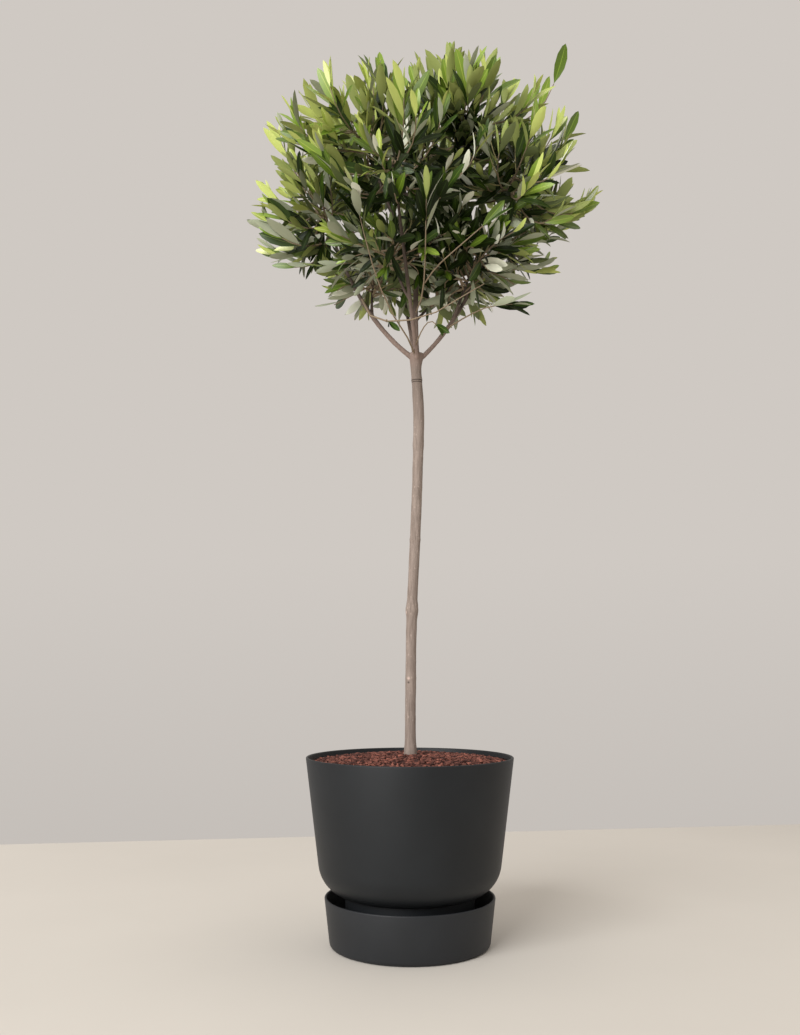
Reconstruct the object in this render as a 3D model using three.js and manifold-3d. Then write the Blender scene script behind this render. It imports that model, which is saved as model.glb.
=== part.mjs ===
// A young olive grown as a standard: one slim bare stem, a fork, and a round open crown of leafy
// shoots, planted in a round tapered pot that stands in its own saucer.
// Millimetres, +Z up. The origin is the middle of the saucer's flat underside, +X is to the right
// of the front view and +Y is to the back.

import * as THREE from "three";
import { mergeVertices } from "three/addons/utils/BufferGeometryUtils.js";
import Module from "manifold-3d";

const wasm = await Module();
wasm.setup();

// Driving dimensions
const GAP = 0.3; // air left between two pieces that touch
const TURN = 2 * Math.PI;
const UP = new THREE.Vector3(0, 0, 1);
const ROUNDING = 1e-3; // corners nearer than this are one
// How far a surface may move as its smallest faces are dropped
const FINEST = { fused: 0.45, cut: 0.02 };
const SEED = 100;

const ROUND_SIDES = 40; // facets round the pot, the saucer and the soil
const POT = {
  rimRadius: 125,
  rimHeight: 216,
  sideFootRadius: 108.6, // where the straight side ends
  sideFootHeight: 91,
  bellyRadius: 40, // rounding between the side and the foot
  bellyTurn: 1.25, // how far that rounding turns, in radians
  footRadius: 76,
  footBevel: 2,
  wall: 3,
  floor: 4,
  lip: 1.2,
};
const SAUCER = {
  rimRadius: 101,
  height: 55,
  baseRadius: 95,
  baseRound: 5,
  wall: 2.8,
  floor: 4,
  lip: 1,
};
const SOIL = {
  edgeBelowRim: 6,
  edgeInset: 4.1, // from the rim's outer edge in to the soil's, where the wall leans in
  mound: 9,
  // the mound's profile: shares of the radius and of its height
  profile: [
    [1, 0],
    [0.72, 0.45],
    [0.4, 0.86],
  ],
  trunkSeatRadius: 12,
};

const TRUNK = {
  sides: 10,
  rings: 22,
  // centre line as seen from the front: x at each height
  line: [
    [0.8, 215],
    [1.2, 290],
    [3.0, 394],
    [7.1, 481],
    [10.6, 573],
    [11.8, 637],
    [10.5, 671],
    [8.6, 702],
    [9.3, 719],
  ],
  radius: 6.1,
  // extra radius of the root flare, the pruning knots and the fork, with the height and spread of each
  swellings: [
    { height: 219, spread: 12, extra: 1.5 },
    { height: 394, spread: 9, extra: 1.4 },
    { height: 637, spread: 40, extra: 0.5 },
    { height: 719, spread: 14, extra: 2.6 },
  ],
};

// The crown's outline is a ball, flatter above and below, that bulges over each mass of foliage.
const CROWN = {
  centre: new THREE.Vector3(20, 0, 925),
  across: 208,
  above: 162,
  below: 162,
  bulge: 0.05,
  hollow: 0.4, // how fast the outline falls off away from the middle of a mass
};

const RINGS = [
  { name: "top", count: 1, first: 0, elevation: 90, seat: 0.62 },
  { name: "upper", count: 4, first: 215, elevation: 36, seat: 0.66 },
  { name: "middle", count: 5, first: 180, elevation: -2, seat: 0.64 },
  { name: "lower", count: 4, first: 237, elevation: -48, seat: 0.66 },
];

// Main boughs: where each leaves the fork, its way out, and the mass that its tip carries.
const MAIN_BOUGHS = [
  { name: "leader", from: [9.3, 0, 719], by: [4, 2, 775], carries: "top_1", radius: 4.6 },
  { name: "bough_left", from: [5, -1, 712], by: [-75, -10, 760], carries: "middle_1", radius: 3.5 },
  { name: "bough_right", from: [14, 1, 712], by: [64, 4, 757], carries: "middle_4", radius: 3.4 },
  { name: "bough_front", from: [10, -5, 708], by: [2, -48, 765], carries: "middle_2", radius: 3.3 },
  { name: "bough_back", from: [9, 5, 704], by: [2, 50, 770], carries: "middle_5", radius: 3.4 },
];

// Side boughs: the limb each grows from, how far along it, and the mass that it carries.
const SIDE_BOUGHS = [
  { carries: "upper_1", parent: "leader", along: 0.5 },
  { carries: "upper_2", parent: "leader", along: 0.7 },
  { carries: "upper_3", parent: "leader", along: 0.58 },
  { carries: "upper_4", parent: "leader", along: 0.8 },
  { carries: "middle_3", parent: "bough_right", along: 0.5 },
  { carries: "lower_1", parent: "bough_front", along: 0.4 },
  { carries: "lower_2", parent: "bough_right", along: 0.34 },
  { carries: "lower_3", parent: "bough_back", along: 0.4 },
  { carries: "lower_4", parent: "bough_left", along: 0.42 },
];

const BOUGH = {
  sides: 6,
  rings: 5,
  tipRadius: 2.1,
  sideRadius: 2.75, // the thickest that a side bough is at its root
  sideShare: 0.85, // and its share of the limb that it grows from
  leavesAt: 0.75, // angle between a side bough and that limb
  bendAt: 0.4, // where a side bough bends towards its mass
  seatReach: 14, // a bough is cut clear of each limb that comes this near its root
  leastLength: 26,
  deepest: 0.8, // the share of the way to the mass's seat where the bough ends at the latest
  entersAt: 0.36, // share of the crown's reach where a mass begins
  inside: 4, // how far inside its mass's own space a bough ends
};
const STEM = { sides: 4, rings: 2, tipRadius: 1.3 };
const SHOOT = {
  sides: 3,
  rings: 2,
  rootRadius: 1.8,
  tipRadius: 1.2,
  shortest: 24,
  firstRoot: 0.97, // shoots stand along the stem from here down to the last root
  lastRoot: 0.17,
  bendAt: 0.45,
  rise: 1.3, // how strongly a shoot's tip turns up towards the light
  riseBelow: 0.7, // under this way down from level, tips no longer turn up
  varies: [0.94, 1.04], // reach of a shoot, as shares of the outline's
  attempts: 8,
  wobble: 0.12, // how far each try may turn it from its target
  fromWall: 6, // a shoot's line keeps this far inside its mass's own space
  fromLimb: 2.5,
};
// Shoots are spread evenly over two shells: the outline, and a smaller one that fills the inside.
const SHELLS = [
  { count: 76, reach: 1 },
  { count: 20, reach: 0.66 },
];
const LEAF = {
  length: 72,
  width: 21,
  thick: 1.5,
  widestAt: 0.46,
  sizes: [0.84, 1.1],
  sunk: 0.55, // how far the leaf's foot goes into its twig
  spread: 0.75, // angle between a leaf and its shoot
  lastSpread: 0.5, // the pair at the tip stands closer to the shoot's line
  spreadVaries: [0.8, 1.2],
  pastTip: 0.7, // share of its length that the last leaf reaches past its shoot
  tipStep: 1.5, // the last leaf's distance from the shoot's tip
  pairStep: 17, // distance between two pairs along the shoot
  stagger: 3, // one leaf of a pair stands this far below the other
  bareFoot: 0.08, // the share of a leaf at its foot that may come near a twig
  barest: 16, // the foot of a shoot that bears no leaves
  mostPairs: 7,
  facesLight: 1.6, // how far a leaf turns its upper face outwards and up
  apart: 11, // least distance between the middles of two leaves
  fromLimb: 8,
  attempts: 8,
  swing: 0.3, // how far a leaf may turn round its shoot; each further try adds a radian
  closer: 0.07, // each further try stands this share closer to the shoot, and is smaller
  smaller: 0.04,
};
const FROM_WALL = 0.25; // each mass keeps this far inside its own space

// Long young shoots that stand out of the outline, as directions from the crown's centre.
const STRAY_SHOOTS = [
  { azimuth: -14, elevation: 44, reach: 1.42 },
  { azimuth: -66, elevation: 68, reach: 1.22 },
  { azimuth: -10, elevation: 25, reach: 1.1 },
  { azimuth: 202, elevation: 20, reach: 1.03 },
  { azimuth: 180, elevation: 8, reach: 1.04 },
  { azimuth: 240, elevation: 52, reach: 1.08 },
];

const COLOUR = {
  pot: [0x2f3031, 0.55],
  soil: [0x6b3a2c, 0.95],
  bark: [0x8c8078, 0.85],
  leaf: [0x4f6b33, 0.6],
};

// The shares 1/count, 2/count and so on, up to 1.
function evenShares(count) {
  return Array.from({ length: count }, (_, i) => (i + 1) / count);
}

// A repeatable stream of numbers from 0 to 1.
function randomStream(seed) {
  let state = seed >>> 0;
  return () => {
    state = (state + 0x6d2b79f5) >>> 0;
    let mixed = Math.imul(state ^ (state >>> 15), state | 1);
    mixed ^= mixed + Math.imul(mixed ^ (mixed >>> 7), mixed | 61);
    return ((mixed ^ (mixed >>> 14)) >>> 0) / 4294967296;
  };
}

function between([low, high], random) {
  return low + (high - low) * random();
}

// A way forward turned towards a way across it.
function turnedFrom(onward, across, angle) {
  return onward.clone().multiplyScalar(Math.cos(angle)).addScaledVector(across, Math.sin(angle));
}

function direction(azimuthDegrees, elevationDegrees) {
  const azimuth = THREE.MathUtils.degToRad(azimuthDegrees);
  const elevation = THREE.MathUtils.degToRad(elevationDegrees);
  return new THREE.Vector3(
    Math.cos(azimuth) * Math.cos(elevation),
    Math.sin(azimuth) * Math.cos(elevation),
    Math.sin(elevation),
  );
}

// Solids

// A three.js geometry as a manifold-3d solid, turned to face out if it doesn't.
function solidOf(geometry) {
  const bare = new THREE.BufferGeometry();
  bare.setAttribute("position", geometry.getAttribute("position"));
  bare.setIndex(geometry.index);
  const merged = mergeVertices(bare, ROUNDING);
  const corners = new Uint32Array(merged.index.array);
  const make = () =>
    new wasm.Manifold(
      new wasm.Mesh({
        numProp: 3,
        vertProperties: merged.attributes.position.array,
        triVerts: corners,
      }),
    );
  const made = make();
  if (made.volume() > 0) return made;
  for (let i = 0; i < corners.length; i += 3) {
    [corners[i + 1], corners[i + 2]] = [corners[i + 2], corners[i + 1]];
  }
  return make();
}

function geometryOf(solid) {
  const mesh = solid.getMesh();
  const positions = new Float32Array(mesh.numVert * 3);
  for (let i = 0; i < mesh.numVert; i++) {
    const start = i * mesh.numProp;
    positions.set(mesh.vertProperties.subarray(start, start + 3), i * 3);
  }
  const geometry = new THREE.BufferGeometry();
  geometry.setAttribute("position", new THREE.BufferAttribute(positions, 3));
  geometry.setIndex(new THREE.BufferAttribute(new Uint32Array(mesh.triVerts), 1));
  geometry.computeVertexNormals();
  return geometry;
}

// The largest body of a solid: loose scraps and sealed hollows are dropped.
function mainBody(solid) {
  return solid.decompose().reduce((best, body) => (body.volume() > best.volume() ? body : best));
}

// Whether a solid's corners all stay apart once they are rounded.
function cornersApart(solid) {
  const bare = geometryOf(solid).deleteAttribute("normal");
  return mergeVertices(bare, ROUNDING).attributes.position.count === solid.numVert();
}

function turned(profile, sides = ROUND_SIDES) {
  const points = profile.map(([r, z]) => new THREE.Vector2(r, z));
  return solidOf(new THREE.LatheGeometry(points, sides).rotateX(Math.PI / 2));
}

// A cylinder bent along a curve. radiusAt takes the share of the way from root to tip.
function bentTube(curve, radiusAt, sides, rings) {
  const geometry = new THREE.CylinderGeometry(1, 1, 1, sides, rings);
  const position = geometry.attributes.position;
  const frames = curve.computeFrenetFrames(rings);
  for (let i = 0; i < position.count; i++) {
    const ring = Math.round((position.getY(i) + 0.5) * rings);
    const along = ring / rings;
    const radius = radiusAt(along);
    const point = curve
      .getPointAt(along)
      .addScaledVector(frames.normals[ring], position.getX(i) * radius)
      .addScaledVector(frames.binormals[ring], position.getZ(i) * radius);
    position.setXYZ(i, point.x, point.y, point.z);
  }
  return solidOf(geometry);
}

// Pot, saucer and soil

function arcPoints(cx, cz, radius, from, to, steps) {
  return Array.from({ length: steps + 1 }, (_, i) => {
    const angle = from + ((to - from) * i) / steps;
    return [cx + radius * Math.cos(angle), cz + radius * Math.sin(angle)];
  });
}

// The pot's outer line from the foot up to the rim, drawn in by inset.
function potSide(inset, steps = 5) {
  const lean = Math.atan2(POT.rimRadius - POT.sideFootRadius, POT.rimHeight - POT.sideFootHeight);
  const cx = POT.sideFootRadius - POT.bellyRadius * Math.cos(lean);
  const cz = POT.sideFootHeight + POT.bellyRadius * Math.sin(lean);
  return arcPoints(cx, cz, POT.bellyRadius - inset, -lean - POT.bellyTurn, -lean, steps);
}

const potFloor = SAUCER.floor + GAP;

function pot() {
  const outer = potSide(0);
  const inner = potSide(POT.wall, 3);
  const foot = POT.footRadius;
  const rim = POT.rimRadius;
  const top = POT.rimHeight;
  return turned([
    [0, potFloor],
    [foot - POT.footBevel, potFloor],
    [foot, potFloor + POT.footBevel],
    ...outer,
    [rim, top - POT.lip],
    [rim - POT.lip, top],
    [rim - POT.wall, top],
    ...inner.reverse(),
    [foot - POT.wall, potFloor + POT.floor],
    [0, potFloor + POT.floor],
  ]);
}

function saucer() {
  const { rimRadius, height, baseRadius, baseRound, wall, floor, lip } = SAUCER;
  return turned([
    [0, 0],
    [baseRadius - baseRound, 0],
    ...arcPoints(baseRadius - baseRound, baseRound, baseRound, -Math.PI / 4, 0, 1),
    [rimRadius, height - lip],
    [rimRadius - lip, height],
    [rimRadius - wall, height],
    [baseRadius - wall, floor + baseRound],
    [baseRadius - wall - baseRound, floor],
    [0, floor],
  ]);
}

const soilEdge = POT.rimHeight - SOIL.edgeBelowRim;
const soilTop = soilEdge + SOIL.mound;

function soil() {
  const inside = potSide(POT.wall + GAP, 3);
  const reach = POT.rimRadius - SOIL.edgeInset;
  return turned([
    [0, potFloor + POT.floor + GAP],
    [POT.footRadius - POT.wall - 2 * GAP, potFloor + POT.floor + GAP],
    ...inside,
    ...SOIL.profile.map(([out, up]) => [reach * out, soilEdge + SOIL.mound * up]),
    [SOIL.trunkSeatRadius, soilTop],
    [0, soilTop],
  ]);
}

// Trunk and boughs

const limbs = []; // every limb's sampled line, for keeping leaves and twigs off it

function rememberLimb(name, curve, radiusAt) {
  const steps = 40;
  const samples = Array.from({ length: steps + 1 }, (_, i) => ({
    point: curve.getPointAt(i / steps),
    radius: radiusAt(i / steps),
  }));
  limbs.push({ name, curve, radiusAt, samples });
}

function trunkCurve() {
  const heights = TRUNK.line.map(([x, z]) => new THREE.Vector3(x, 0, z));
  return new THREE.CatmullRomCurve3(heights);
}

function trunkRadius(curve) {
  return (along) => {
    const { z } = curve.getPointAt(along);
    return TRUNK.swellings.reduce(
      (sum, { height, spread, extra }) => sum + extra * Math.exp(-(((z - height) / spread) ** 2)),
      TRUNK.radius,
    );
  };
}

function trunk() {
  const curve = trunkCurve();
  const radiusAt = trunkRadius(curve);
  rememberLimb("trunk", curve, radiusAt);
  const tube = bentTube(curve, radiusAt, TRUNK.sides, TRUNK.rings);
  return tube.trimByPlane(UP.toArray(), soilTop + GAP);
}

// The part of a curve between two shares of its length.
class Stretch extends THREE.Curve {
  constructor(whole, from, to) {
    super();
    Object.assign(this, { whole, from, to });
  }

  getPoint(t, target = new THREE.Vector3()) {
    return target.copy(this.whole.getPointAt(this.from + (this.to - this.from) * t));
  }
}

function taper(root, tip) {
  return (along) => root + (tip - root) * along;
}

// A limb's solid with its root cut 0.3 mm clear of the limbs made before it.
function seated(curve, radiusAt) {
  let made = bentTube(curve, radiusAt, BOUGH.sides, BOUGH.rings);
  for (const other of limbs) {
    const nearest = Math.min(
      ...other.samples.map(({ point, radius }) => point.distanceTo(curve.getPointAt(0)) - radius),
    );
    if (nearest > BOUGH.seatReach) continue;
    const grown = (along) => other.radiusAt(along) + GAP;
    const rings = other.name === "trunk" ? TRUNK.rings : BOUGH.rings;
    const sides = other.name === "trunk" ? TRUNK.sides : BOUGH.sides;
    made = made.subtract(bentTube(other.curve, grown, sides, rings));
  }
  return mainBody(made).simplify(FINEST.cut);
}

// Masses of foliage

function outlineReach(way) {
  const up = way.z > 0 ? CROWN.above : CROWN.below;
  const flat = Math.hypot(way.x, way.y);
  return 1 / Math.hypot(flat / CROWN.across, way.z / up);
}

function shareOfReach(point) {
  const offset = point.clone().sub(CROWN.centre);
  const distance = offset.length();
  return distance < 1e-6 ? 0 : distance / outlineReach(offset.normalize());
}

const masses = RINGS.flatMap(({ name, count, first, elevation, seat }) =>
  Array.from({ length: count }, (_, i) => {
    const way = direction(first + (360 * i) / count, elevation);
    return {
      name: `${name}_${i + 1}`,
      way,
      seat: way.clone().multiplyScalar(outlineReach(way) * seat).add(CROWN.centre),
    };
  }),
);
const massNamed = (name) => masses.find((mass) => mass.name === name);

// The walls between a mass and every other: it keeps to its own side of each.
for (const mass of masses) {
  mass.walls = masses
    .filter((other) => other !== mass)
    .map((other) => {
      const normal = other.seat.clone().sub(mass.seat).normalize();
      const middle = other.seat.clone().add(mass.seat).multiplyScalar(0.5);
      return { normal, offset: normal.dot(middle) };
    });
}

function insideCell(mass, points, margin = FROM_WALL) {
  return points.every((point) =>
    mass.walls.every(({ normal, offset }) => normal.dot(point) <= offset - margin),
  );
}

function clearOfLimbs(point, keep) {
  return limbs.every(({ samples }) =>
    samples.every((sample) => sample.point.distanceTo(point) > sample.radius + keep),
  );
}

// The whole way from a limb to the seat of a mass. The bough is its first part, up to where it
// enters the mass, and the mass's own stem is the rest.
function wayToMass(start, bend, mass) {
  return new THREE.QuadraticBezierCurve3(start, bend, mass.seat);
}

function entryShare(curve, mass) {
  const length = curve.getLength();
  for (let share = BOUGH.leastLength / length; share < BOUGH.deepest; share += 0.02) {
    const point = curve.getPointAt(share);
    if (insideCell(mass, [point], BOUGH.inside) && shareOfReach(point) > BOUGH.entersAt) return share;
  }
  return BOUGH.deepest;
}

function growBough(name, curve, mass, rootRadius) {
  const entry = entryShare(curve, mass);
  const boughCurve = new Stretch(curve, 0, entry);
  const radiusAt = taper(rootRadius, BOUGH.tipRadius);
  const solid = seated(boughCurve, radiusAt);
  rememberLimb(name, boughCurve, radiusAt);
  mass.stem = new Stretch(curve, entry + GAP / curve.getLength(), 1);
  return [name, solid];
}

function boughs() {
  const made = [];
  for (const { name, from, by, carries, radius } of MAIN_BOUGHS) {
    const mass = massNamed(carries);
    const curve = wayToMass(new THREE.Vector3(...from), new THREE.Vector3(...by), mass);
    made.push(growBough(name, curve, mass, radius));
  }
  for (const { carries, parent, along } of SIDE_BOUGHS) {
    const mass = massNamed(carries);
    const limb = limbs.find(({ name }) => name === parent);
    const start = limb.curve.getPointAt(along);
    const onward = limb.curve.getTangentAt(along);
    const reach = start.distanceTo(mass.seat);
    const outward = mass.seat.clone().sub(start).projectOnPlane(onward).normalize();
    const leaving = turnedFrom(onward, outward, BOUGH.leavesAt);
    const bend = start.clone().addScaledVector(leaving, reach * BOUGH.bendAt);
    const curve = wayToMass(start, bend, mass);
    const radius = Math.min(BOUGH.sideRadius, limb.radiusAt(along) * BOUGH.sideShare);
    made.push(growBough(`side_${carries}`, curve, mass, radius));
  }
  return made;
}

// Ways out from the crown's centre, spread evenly, one for each shoot.
function shootTargets() {
  const golden = Math.PI * (3 - Math.sqrt(5));
  const even = SHELLS.flatMap(({ count, reach }) =>
    Array.from({ length: count }, (_, i) => {
      const z = 1 - (2 * (i + 0.5)) / count;
      const flat = Math.sqrt(1 - z * z);
      const way = new THREE.Vector3(Math.cos(golden * i) * flat, Math.sin(golden * i) * flat, z);
      return { way, reach };
    }),
  );
  const stray = STRAY_SHOOTS.map(({ azimuth, elevation, reach }) => ({
    way: direction(azimuth, elevation),
    reach,
  }));
  return [...even, ...stray];
}

function nearestMass(point) {
  return masses.reduce((best, mass) =>
    mass.seat.distanceToSquared(point) < best.seat.distanceToSquared(point) ? mass : best,
  );
}

// A six-sided leaf blade: pointed at both ends, flat above, with a ridge for its midrib below.
function leafBlade(root, way, face, length, width) {
  const side = way.clone().cross(face).normalize();
  const waist = root.clone().addScaledVector(way, length * LEAF.widestAt);
  const corners = [
    root,
    root.clone().addScaledVector(way, length),
    waist.clone().addScaledVector(side, width / 2),
    waist.clone().addScaledVector(side, -width / 2),
    waist.clone().addScaledVector(face, -LEAF.thick),
  ];
  const [base, tip, right, left, under] = [0, 1, 2, 3, 4];
  const faces = [
    [base, right, left],
    [tip, left, right],
    [base, left, under],
    [base, under, right],
    [tip, under, left],
    [tip, right, under],
  ];
  const geometry = new THREE.BufferGeometry().setFromPoints(corners);
  geometry.setIndex(faces.flat());
  const foot = root.clone().addScaledVector(way, length * LEAF.bareFoot);
  return { corners, geometry, outline: [foot, corners[right], corners[tip], corners[left]] };
}

// Whether a straight line from a to b passes through a leaf's outline.
function pierces(a, b, [foot, right, tip, left]) {
  const ray = new THREE.Ray(a, b.clone().sub(a).normalize());
  const reach = a.distanceTo(b);
  const hit = new THREE.Vector3();
  return [
    [foot, right, tip],
    [foot, tip, left],
  ].some(
    (corners) => ray.intersectTriangle(...corners, false, hit) && hit.distanceTo(a) <= reach,
  );
}

function sidesOf([foot, right, tip, left]) {
  return [
    [foot, right],
    [right, tip],
    [tip, left],
    [left, foot],
    [foot, tip],
  ];
}

function leavesCross(one, other) {
  return (
    sidesOf(one).some(([a, b]) => pierces(a, b, other)) ||
    sidesOf(other).some(([a, b]) => pierces(a, b, one))
  );
}

// Where the leaves stand along a shoot, from its tip down: nearly opposite pairs, a quarter turn apart.
function leafPlaces(length) {
  const pairs = Math.min(LEAF.mostPairs, 1 + Math.floor((length - LEAF.barest) / LEAF.pairStep));
  return Array.from({ length: pairs }, (_, pair) => {
    const down = LEAF.tipStep + pair * LEAF.pairStep;
    const roll = (pair * Math.PI) / 2;
    return [
      { pair, down, roll },
      { pair, down: down + LEAF.stagger, roll: roll + Math.PI },
    ];
  }).flat();
}

// The way a leaf's upper face looks: in towards its shoot, turned towards the light.
function leafFace(onward, across, spread, way, point) {
  const light = point.clone().sub(CROWN.centre).normalize().add(UP).normalize();
  const inward = onward.clone().multiplyScalar(Math.sin(spread));
  return inward
    .addScaledVector(across, -Math.cos(spread))
    .addScaledVector(light, LEAF.facesLight)
    .projectOnPlane(way)
    .normalize();
}

// A leaf that doesn't fit is tried at a few turns round the shoot before it is skipped.
function leavesOfShoot(curve, mass, random, grown) {
  const blades = [];
  const length = curve.getLength();
  const firstTurn = random() * TURN;
  for (const { pair, down, roll } of leafPlaces(length)) {
    const along = 1 - down / length;
    const onward = curve.getTangentAt(along);
    const point = curve.getPointAt(along);
    const flat = UP.clone().cross(onward).normalize();
    for (let attempt = 0; attempt < LEAF.attempts; attempt++) {
      const swing = (random() - 0.5) * (LEAF.swing + attempt);
      const across = flat.clone().applyAxisAngle(onward, firstTurn + roll + swing);
      const closer = 1 - LEAF.closer * attempt;
      const usual = pair === 0 ? LEAF.lastSpread : LEAF.spread;
      const spread = usual * between(LEAF.spreadVaries, random) * closer;
      const way = turnedFrom(onward, across, spread);
      const face = leafFace(onward, across, spread, way, point);
      const size = between(LEAF.sizes, random) * (1 - LEAF.smaller * attempt);
      const root = point.clone().addScaledVector(way, -LEAF.sunk);
      const blade = leafBlade(root, way, face, LEAF.length * size, LEAF.width * size);
      const line = evenShares(8).map((share) =>
        root.clone().addScaledVector(way, LEAF.length * size * share),
      );
      const middle = line[3];
      const fits =
        insideCell(mass, blade.corners) &&
        line.every((at) => clearOfLimbs(at, LEAF.fromLimb)) &&
        grown.leaves.every((other) => other.middle.distanceTo(middle) > LEAF.apart) &&
        grown.twigs.every(([a, b]) => !pierces(a, b, blade.outline)) &&
        grown.leaves.every((other) => !leavesCross(other.outline, blade.outline));
      if (!fits) continue;
      grown.leaves.push({ middle, outline: blade.outline });
      blades.push(solidOf(blade.geometry));
      break;
    }
  }
  return blades;
}

// One shoot from the stem out to its target on the outline, or nothing where none fits.
function growShoot(mass, target, order, random) {
  const stem = mass.stem;
  const start = stem.getPointAt(THREE.MathUtils.lerp(SHOOT.firstRoot, SHOOT.lastRoot, order));
  for (let attempt = 0; attempt < SHOOT.attempts; attempt++) {
    const wobble = new THREE.Vector3(random() - 0.5, random() - 0.5, random() - 0.5);
    const way = target.way.clone().addScaledVector(wobble, SHOOT.wobble * (1 + attempt)).normalize();
    const bulge = 1 + CROWN.bulge - CROWN.hollow * (1 - way.dot(mass.way));
    const share = target.reach * bulge * between(SHOOT.varies, random);
    const end = way.clone().multiplyScalar(outlineReach(way) * share).add(CROWN.centre);
    const rise = SHOOT.rise * THREE.MathUtils.clamp(SHOOT.riseBelow + way.z, 0, 1);
    const last = way.clone().addScaledVector(UP, rise).normalize();
    const tip = end.clone().addScaledVector(last, -LEAF.length * LEAF.pastTip);
    const length = start.distanceTo(tip);
    if (length < SHOOT.shortest) continue;
    const bend = tip.clone().addScaledVector(last, -length * SHOOT.bendAt);
    const curve = new THREE.QuadraticBezierCurve3(start, bend, tip);
    const samples = evenShares(12).map((share) => curve.getPointAt(share));
    const fits =
      insideCell(mass, samples, SHOOT.fromWall) &&
      samples.every((at) => clearOfLimbs(at, SHOOT.fromLimb));
    if (fits) return curve;
  }
  return null;
}

function linesOf(curve, count) {
  const points = curve.getSpacedPoints(count);
  return evenShares(count).map((_, i) => [points[i], points[i + 1]]);
}

function foliage(mass, targets, random) {
  const stemRadius = taper(BOUGH.tipRadius, STEM.tipRadius);
  const byAngle = [...targets].sort((a, b) => b.way.dot(mass.way) - a.way.dot(mass.way));
  const shoots = byAngle
    .map((target, i) => growShoot(mass, target, i / byAngle.length, random))
    .filter((curve) => curve !== null);
  const grown = { leaves: [], twigs: [mass.stem, ...shoots].flatMap((curve) => linesOf(curve, 8)) };
  const shootRadius = taper(SHOOT.rootRadius, SHOOT.tipRadius);
  const pieces = [
    bentTube(mass.stem, stemRadius, STEM.sides, STEM.rings),
    ...shoots.map((curve) => bentTube(curve, shootRadius, SHOOT.sides, SHOOT.rings)),
    ...shoots.flatMap((curve) => leavesOfShoot(curve, mass, random, grown)),
  ];
  return mainBody(wasm.Manifold.union(pieces).simplify(FINEST.fused));
}

// Assembly

function material([colour, roughness]) {
  return new THREE.MeshStandardMaterial({ color: colour, roughness, metalness: 0 });
}

const olive = new THREE.Group();
olive.name = "potted_olive";

function place(name, solid, look) {
  const mesh = new THREE.Mesh(geometryOf(solid), material(COLOUR[look]));
  mesh.name = name;
  olive.add(mesh);
}

place("saucer", saucer(), "pot");
place("pot", pot(), "pot");
place("soil", soil(), "soil");
place("trunk", trunk(), "bark");
for (const [name, solid] of boughs()) place(name, solid, "bark");

const targetsByMass = new Map(masses.map((mass) => [mass, []]));
for (const target of shootTargets()) {
  const point = target.way.clone().multiplyScalar(outlineReach(target.way)).add(CROWN.centre);
  targetsByMass.get(nearestMass(point)).push(target);
}
masses.forEach((mass, i) => {
  const targets = targetsByMass.get(mass);
  let seed = SEED + i;
  let solid = foliage(mass, targets, randomStream(seed));
  while (!cornersApart(solid)) {
    seed += masses.length;
    solid = foliage(mass, targets, randomStream(seed));
  }
  place(`foliage_${mass.name}`, solid, "leaf");
});

export default olive;
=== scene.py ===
"""A potted olive tree: a young olive grown as a standard, in a matt round planter on its saucer.

Metres, +Z up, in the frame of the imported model. The origin is the middle of the saucer's flat
underside, +X is to the right of the front view and +Y is to the back.
"""

import math

import bmesh
import bpy
import numpy as np
from mathutils import Matrix, Vector, noise


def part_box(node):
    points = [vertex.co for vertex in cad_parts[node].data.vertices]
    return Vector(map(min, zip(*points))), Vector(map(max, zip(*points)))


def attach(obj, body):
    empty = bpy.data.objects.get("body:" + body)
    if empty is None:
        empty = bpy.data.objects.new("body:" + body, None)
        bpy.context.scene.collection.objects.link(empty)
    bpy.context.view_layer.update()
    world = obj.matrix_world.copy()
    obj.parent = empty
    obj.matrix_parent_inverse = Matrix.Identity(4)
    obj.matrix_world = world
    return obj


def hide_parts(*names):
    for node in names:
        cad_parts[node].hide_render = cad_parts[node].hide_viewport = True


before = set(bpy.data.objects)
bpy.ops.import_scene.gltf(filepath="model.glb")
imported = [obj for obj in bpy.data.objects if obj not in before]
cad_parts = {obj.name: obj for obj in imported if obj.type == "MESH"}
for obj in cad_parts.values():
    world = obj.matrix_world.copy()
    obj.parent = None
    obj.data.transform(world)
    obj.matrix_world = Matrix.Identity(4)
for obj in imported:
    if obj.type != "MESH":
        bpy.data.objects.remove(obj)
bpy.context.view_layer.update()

bl_info = {
    "name": "Potted Olive Tree",
    "version": (1, 0, 0),
    "blender": (4, 5, 0),
    "location": "3D View > Sidebar > Olive",
    "description": "Dresses the packed olive tree with bark, twigs, leaves, soil and a matt planter",
    "category": "Add Mesh",
}

UP = np.array([0.0, 0.0, 1.0])


# Sizes and colours that a user would change


def length(name, description, default):
    """A length in metres for a property group."""
    return bpy.props.FloatProperty(
        name=name, description=description, default=default, min=0.0, precision=4, unit="LENGTH"
    )


def share(name, description, default, most=1.0):
    """A plain number for a property group."""
    return bpy.props.FloatProperty(
        name=name, description=description, default=default, min=0.0, max=most, precision=3
    )


def count(name, description, default):
    """A whole number for a property group."""
    return bpy.props.IntProperty(name=name, description=description, default=default, min=1)


def linear(hex_colour):
    """A screen colour such as 8c8078 as the linear values that shaders use."""
    shares = [int(hex_colour[i : i + 2], 16) / 255 for i in (0, 2, 4)]
    return tuple(s / 12.92 if s <= 0.04045 else ((s + 0.055) / 1.055) ** 2.4 for s in shares)


def colour(name, description, default):
    """A colour for a property group."""
    return bpy.props.FloatVectorProperty(
        name=name, description=description, default=linear(default), min=0, max=1, subtype="COLOR"
    )


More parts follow.
